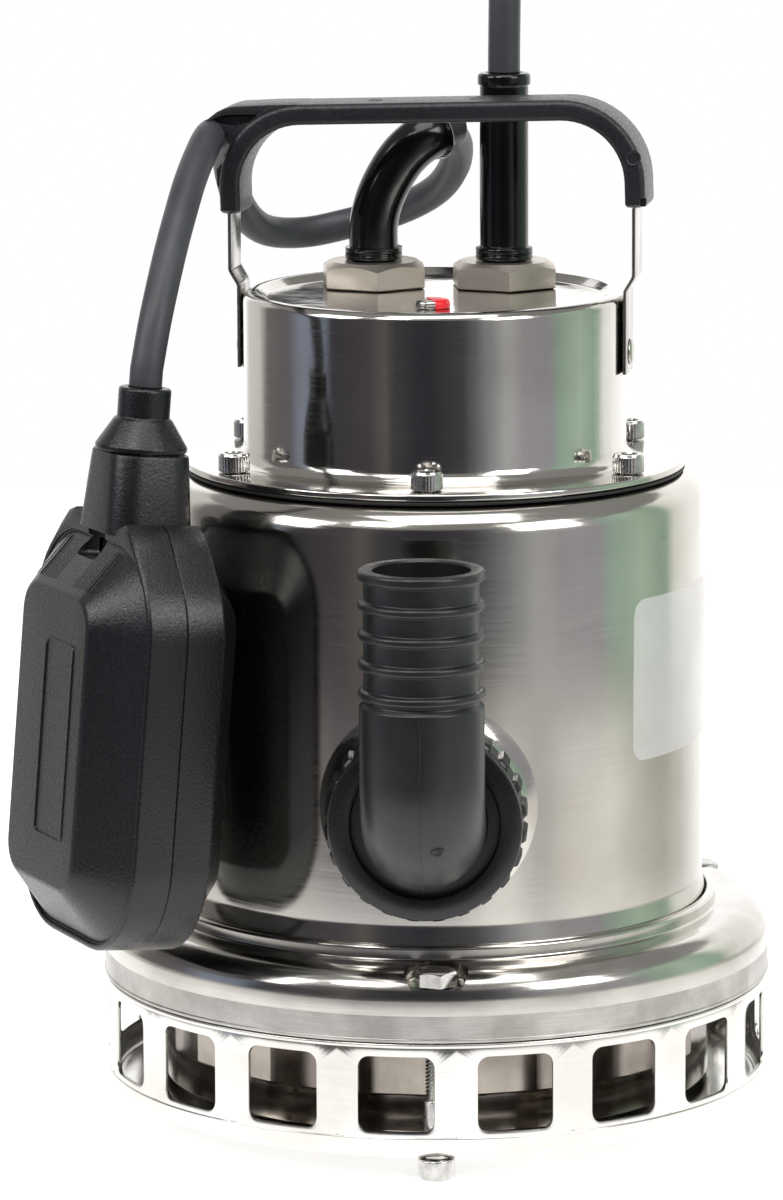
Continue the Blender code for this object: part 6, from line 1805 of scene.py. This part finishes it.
# ---- studio ----
@dataclass
class Studio:
    """White studio: camera, world, floor, lamps and the room that the steel mirrors."""

    eye: Triple = (0.0706, -1.6391, 0.4394)
    heading: float = 2.49               # degrees left of +Y
    pitch: float = 10.23                # degrees down
    roll: float = 0.23
    lens: float = 184.0
    sensor: float = 36.0
    floor_radius: float = 1.1
    room_radius: float = 2.2
    room_top: float = 1.5
    table_z: float = -0.002             # just under the floor
    room_light: float = 1.7
    near: Pair = (0.26, 0.40)        # radii between which the white at the pump's foot ends
    table: Pair = (0.46, 0.90)       # radii between which the table's light gives way
    # Bearing from the camera's side towards +X, and the light there: what stands round the table.
    room: tuple[tuple[float, str], ...] = (
        (-180, "#EEEEEE"), (-152, "#E8E8E8"), (-143, "#B4B4B2"), (-124, "#B6B5B0"), (-115, "#625E5F"),
        (-92, "#5A565A"), (-82, "#757B8A"), (-66, "#6E7888"), (-58, "#353438"), (-34, "#3F3C41"),
        (-26, "#54504C"), (-18, "#38373C"),
        (0, "#2A2A2F"), (20, "#3C3B3F"), (29, "#585A5E"), (38, "#7E7F82"), (48, "#9A9B9C"), (58, "#8A888C"),
        (76, "#86848A"), (84, "#82978A"), (100, "#96AA99"), (116, "#7F9685"), (124, "#D2D4CF"),
        (140, "#E6E6E4"), (180, "#EEEEEE"))
    # The same for the table close to the pump.
    tabletop: tuple[tuple[float, str], ...] = (
        (-180, "#F0F0F0"), (-146, "#CFCECB"), (-126, "#BDBBB7"), (-100, "#A19E9B"), (-70, "#ADAAA6"),
        (-55, "#8B8986"), (-36, "#605D60"), (-16, "#46454A"), (0, "#4A4A4E"), (14, "#6E6C6C"),
        (28, "#BEBBB6"), (36, "#C9C7C3"), (48, "#ACABA8"), (62, "#C8C6C2"), (82, "#CFCDC8"),
        (96, "#BBB9B3"), (112, "#A4A39C"), (128, "#B8B7B3"), (145, "#DEDDDB"), (180, "#F0F0F0"))

    # Azimuth, height, distance from the axis, watts and width of each lamp.
    lamps: dict[str, tuple[float, float, float, float, float]] = field(default_factory=lambda: {
        "lamp_left": (-66, 1.3, 1.7, 14, 0.9), "lamp_right": (52, 1.2, 1.7, 14, 0.9),
        "lamp_top": (20, 1.9, 0.5, 14, 1.2), "lamp_front": (-28, 1.45, 1.1, 7, 0.45)})

    def build(self) -> None:
        """Set up the studio."""
        self._camera()
        self._world()
        self._floor()
        self._lamps()
        self._room()

    def _camera(self) -> None:
        """Camera in front of the pump, slightly above it and hardly rolled."""
        across = Vector((math.cos(math.radians(self.heading)), math.sin(math.radians(self.heading)), 0))
        level = Vector((-across.y, across.x, 0))
        down = math.radians(self.pitch)
        forward = level * math.cos(down) - Vector((0, 0, math.sin(down)))
        up = across.cross(forward)
        roll = math.radians(self.roll)
        right = across * math.cos(roll) - up * math.sin(roll)
        top = up * math.cos(roll) + across * math.sin(roll)
        data = bpy.data.cameras.new("camera")
        data.lens, data.sensor_width, data.sensor_fit = self.lens, self.sensor, "AUTO"
        data.clip_start, data.clip_end = 0.05, 20.0
        camera = bpy.data.objects.new("camera", data)
        frame = Matrix((right, top, -forward)).transposed().to_4x4()
        camera.matrix_world = Matrix.Translation(self.eye) @ frame
        bpy.context.collection.objects.link(camera)
        bpy.context.scene.camera = camera

    def _world(self) -> None:
        """White to the camera; a calmer grey to what mirrors it."""
        world = bpy.data.worlds.new("studio")
        bpy.context.scene.world = world
        world.use_nodes = True
        tree = world.node_tree
        tree.nodes.clear()
        path = add_node(tree, "ShaderNodeLightPath")
        plain = add_node(tree, "ShaderNodeBackground", inputs={"Color": srgb("#FFFFFF"), "Strength": 0.75})
        mirrored = add_node(tree, "ShaderNodeBackground", inputs={"Color": srgb("#F2F1EE"), "Strength": 0.35})
        white = add_node(tree, "ShaderNodeBackground", inputs={"Color": srgb("#FFFFFF"), "Strength": 1.0})
        glossy = add_node(tree, "ShaderNodeMixShader", links={
            0: (path, "Is Glossy Ray"), 1: (plain, "Background"), 2: (mirrored, "Background")})
        seen = add_node(tree, "ShaderNodeMixShader", links={
            0: (path, "Is Camera Ray"), 1: (glossy, "Shader"), 2: (white, "Background")})
        add_node(tree, "ShaderNodeOutputWorld", links={"Surface": (seen, "Shader")})

    def _bearing_ramp(self, tree: bpy.types.NodeTree, stops: Sequence[tuple[float, str]]) -> bpy.types.Node:
        """Colour by bearing round the pump.

        Args:
            tree: node tree of the room's material.
            stops: bearing in degrees and colour of each stop, in rising order.

        Returns:
            The ramp node.
        """
        place = add_node(tree, "ShaderNodeTexCoord")
        turn = add_node(tree, "ShaderNodeMapping", inputs={
            "Rotation": (0, 0, math.radians(self.heading + 90))}, links={"Vector": (place, "Object")})
        split = add_node(tree, "ShaderNodeSeparateXYZ", links={"Vector": (turn, "Vector")})
        bearing = add_node(tree, "ShaderNodeMath", {"operation": "ARCTAN2"}, links={0: (split, "Y"),
                                                                                    1: (split, "X")})
        share = add_node(tree, "ShaderNodeMapRange", inputs={"From Min": -math.pi, "From Max": math.pi},
                         links={"Value": (bearing, "Value")})
        ramp = add_node(tree, "ShaderNodeValToRGB", links={"Fac": (share, "Result")})
        set_ramp(ramp, [((azimuth + 180) / 360, srgb(colour)) for azimuth, colour in stops])
        return ramp

    def _room(self) -> None:
        """Room and table that only mirrors see: darker behind the camera, brighter to the sides."""
        made = bpy.data.materials.new("mirrored_room")
        made.use_nodes = True
        tree = made.node_tree
        tree.nodes.clear()
        room = self._bearing_ramp(tree, self.room)
        table = self._bearing_ramp(tree, self.tabletop)
        place = add_node(tree, "ShaderNodeTexCoord")
        reach = add_node(tree, "ShaderNodeVectorMath", {"operation": "LENGTH"},
                         links={0: (place, "Object")})
        share = add_node(tree, "ShaderNodeMapRange", {"interpolation_type": "SMOOTHSTEP"}, {
            "From Min": self.table[0], "From Max": self.table[1]}, {"Value": (reach, "Value")})
        foot = add_node(tree, "ShaderNodeMapRange", {"interpolation_type": "SMOOTHSTEP"}, {
            "From Min": self.near[0], "From Max": self.near[1]}, {"Value": (reach, "Value")})
        ground = add_node(tree, "ShaderNodeMix", {"data_type": "RGBA"}, {"A": srgb("#EDEDED")}, {
            "Factor": (foot, "Result"), "B": (table, "Color")})
        tint = add_node(tree, "ShaderNodeMix", {"data_type": "RGBA"}, links={
            "Factor": (share, "Result"), "A": (ground, "Result"), "B": (room, "Color")})
        light = add_node(tree, "ShaderNodeEmission", inputs={"Strength": self.room_light},
                         links={"Color": (tint, "Result")})
        add_node(tree, "ShaderNodeOutputMaterial", links={"Surface": (light, "Emission")})
        piece = self._staged("room", [(0.0, self.table_z), (self.room_radius, self.table_z),
                                      (self.room_radius, self.room_top)], made)
        piece.visible_camera = piece.visible_diffuse = piece.visible_shadow = False
        piece.visible_transmission = False

    def _staged(self, name: str, profile: Profile, made: bpy.types.Material) -> bpy.types.Object:
        """Turned piece of the studio that isn't part of the pump."""
        bm = turned(profile, SHELL_STEPS)
        mesh = bpy.data.meshes.new(name)
        bm.to_mesh(mesh)
        bm.free()
        mesh.materials.append(made)
        piece = bpy.data.objects.new(name, mesh)
        bpy.context.collection.objects.link(piece)
        piece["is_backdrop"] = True
        return piece

    def _floor(self) -> None:
        """White floor that keeps the pump's shadow."""
        made = bpy.data.materials.new("white_studio_floor")
        made.use_nodes = True
        shader = made.node_tree.nodes["Principled BSDF"]
        shader.inputs["Base Color"].default_value = srgb("#F4F4F4")
        shader.inputs["Roughness"].default_value = 0.9
        shader.inputs["Emission Color"].default_value = srgb("#FFFFFF")
        shader.inputs["Emission Strength"].default_value = 0.3
        floor = self._staged("floor", [(0.0, 0.0), (self.floor_radius, 0.0)], made)
        floor.visible_glossy = False

    def _lamps(self) -> None:
        """Broad lamps from both sides and above."""
        for name, (azimuth, height, reach, power, size) in self.lamps.items():
            data = bpy.data.lights.new(name, "AREA")
            data.energy, data.size = power, size
            lamp = bpy.data.objects.new(name, data)
            place = polar(reach, azimuth, height)
            aim = Vector((0, 0, 0.15)) - place
            lamp.matrix_world = Matrix.Translation(place) @ aim.to_track_quat("-Z", "Y").to_matrix().to_4x4()
            bpy.context.collection.objects.link(lamp)


def note_size(stage: str, sizes: dict[str, list[list[float]]]) -> None:
    """Args:
        stage: when they were taken.
        sizes: earlier bounds, added to.
    """
    sizes[stage] = [[float(v) for v in corner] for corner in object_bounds()]


def main() -> None:
    """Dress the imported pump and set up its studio."""
    logging.basicConfig(level=logging.INFO, format="%(message)s")
    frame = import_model()
    sizes: dict[str, list[list[float]]] = {}
    note_size("loaded", sizes)
    low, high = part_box("motor_cover")
    axis = Vector(((low[0] + high[0]) / 2, (low[1] + high[1]) / 2, 0.0))
    bench = Bench(axis, Finishes(tuple(axis)))
    shell = OuterShell(bench)
    entries = CableEntries(bench)
    float_switch = FloatSwitch(bench)
    parts = [StrainerBase(bench), shell, MotorCover(bench), entries, Outlet(bench, shell), Handle(bench),
             float_switch, Cords(bench, entries, float_switch), InnerParts(bench.finishes, frame["nodes"]),
             Studio()]
    for part in parts:
        LOG.info("building %s", type(part).__name__)
        part.build()
    LOG.info("%d pieces", len(bench.made))
    bpy.context.scene.view_settings.view_transform = "Standard"
    note_size("finished", sizes)


if __name__ == "__main__":
    main()
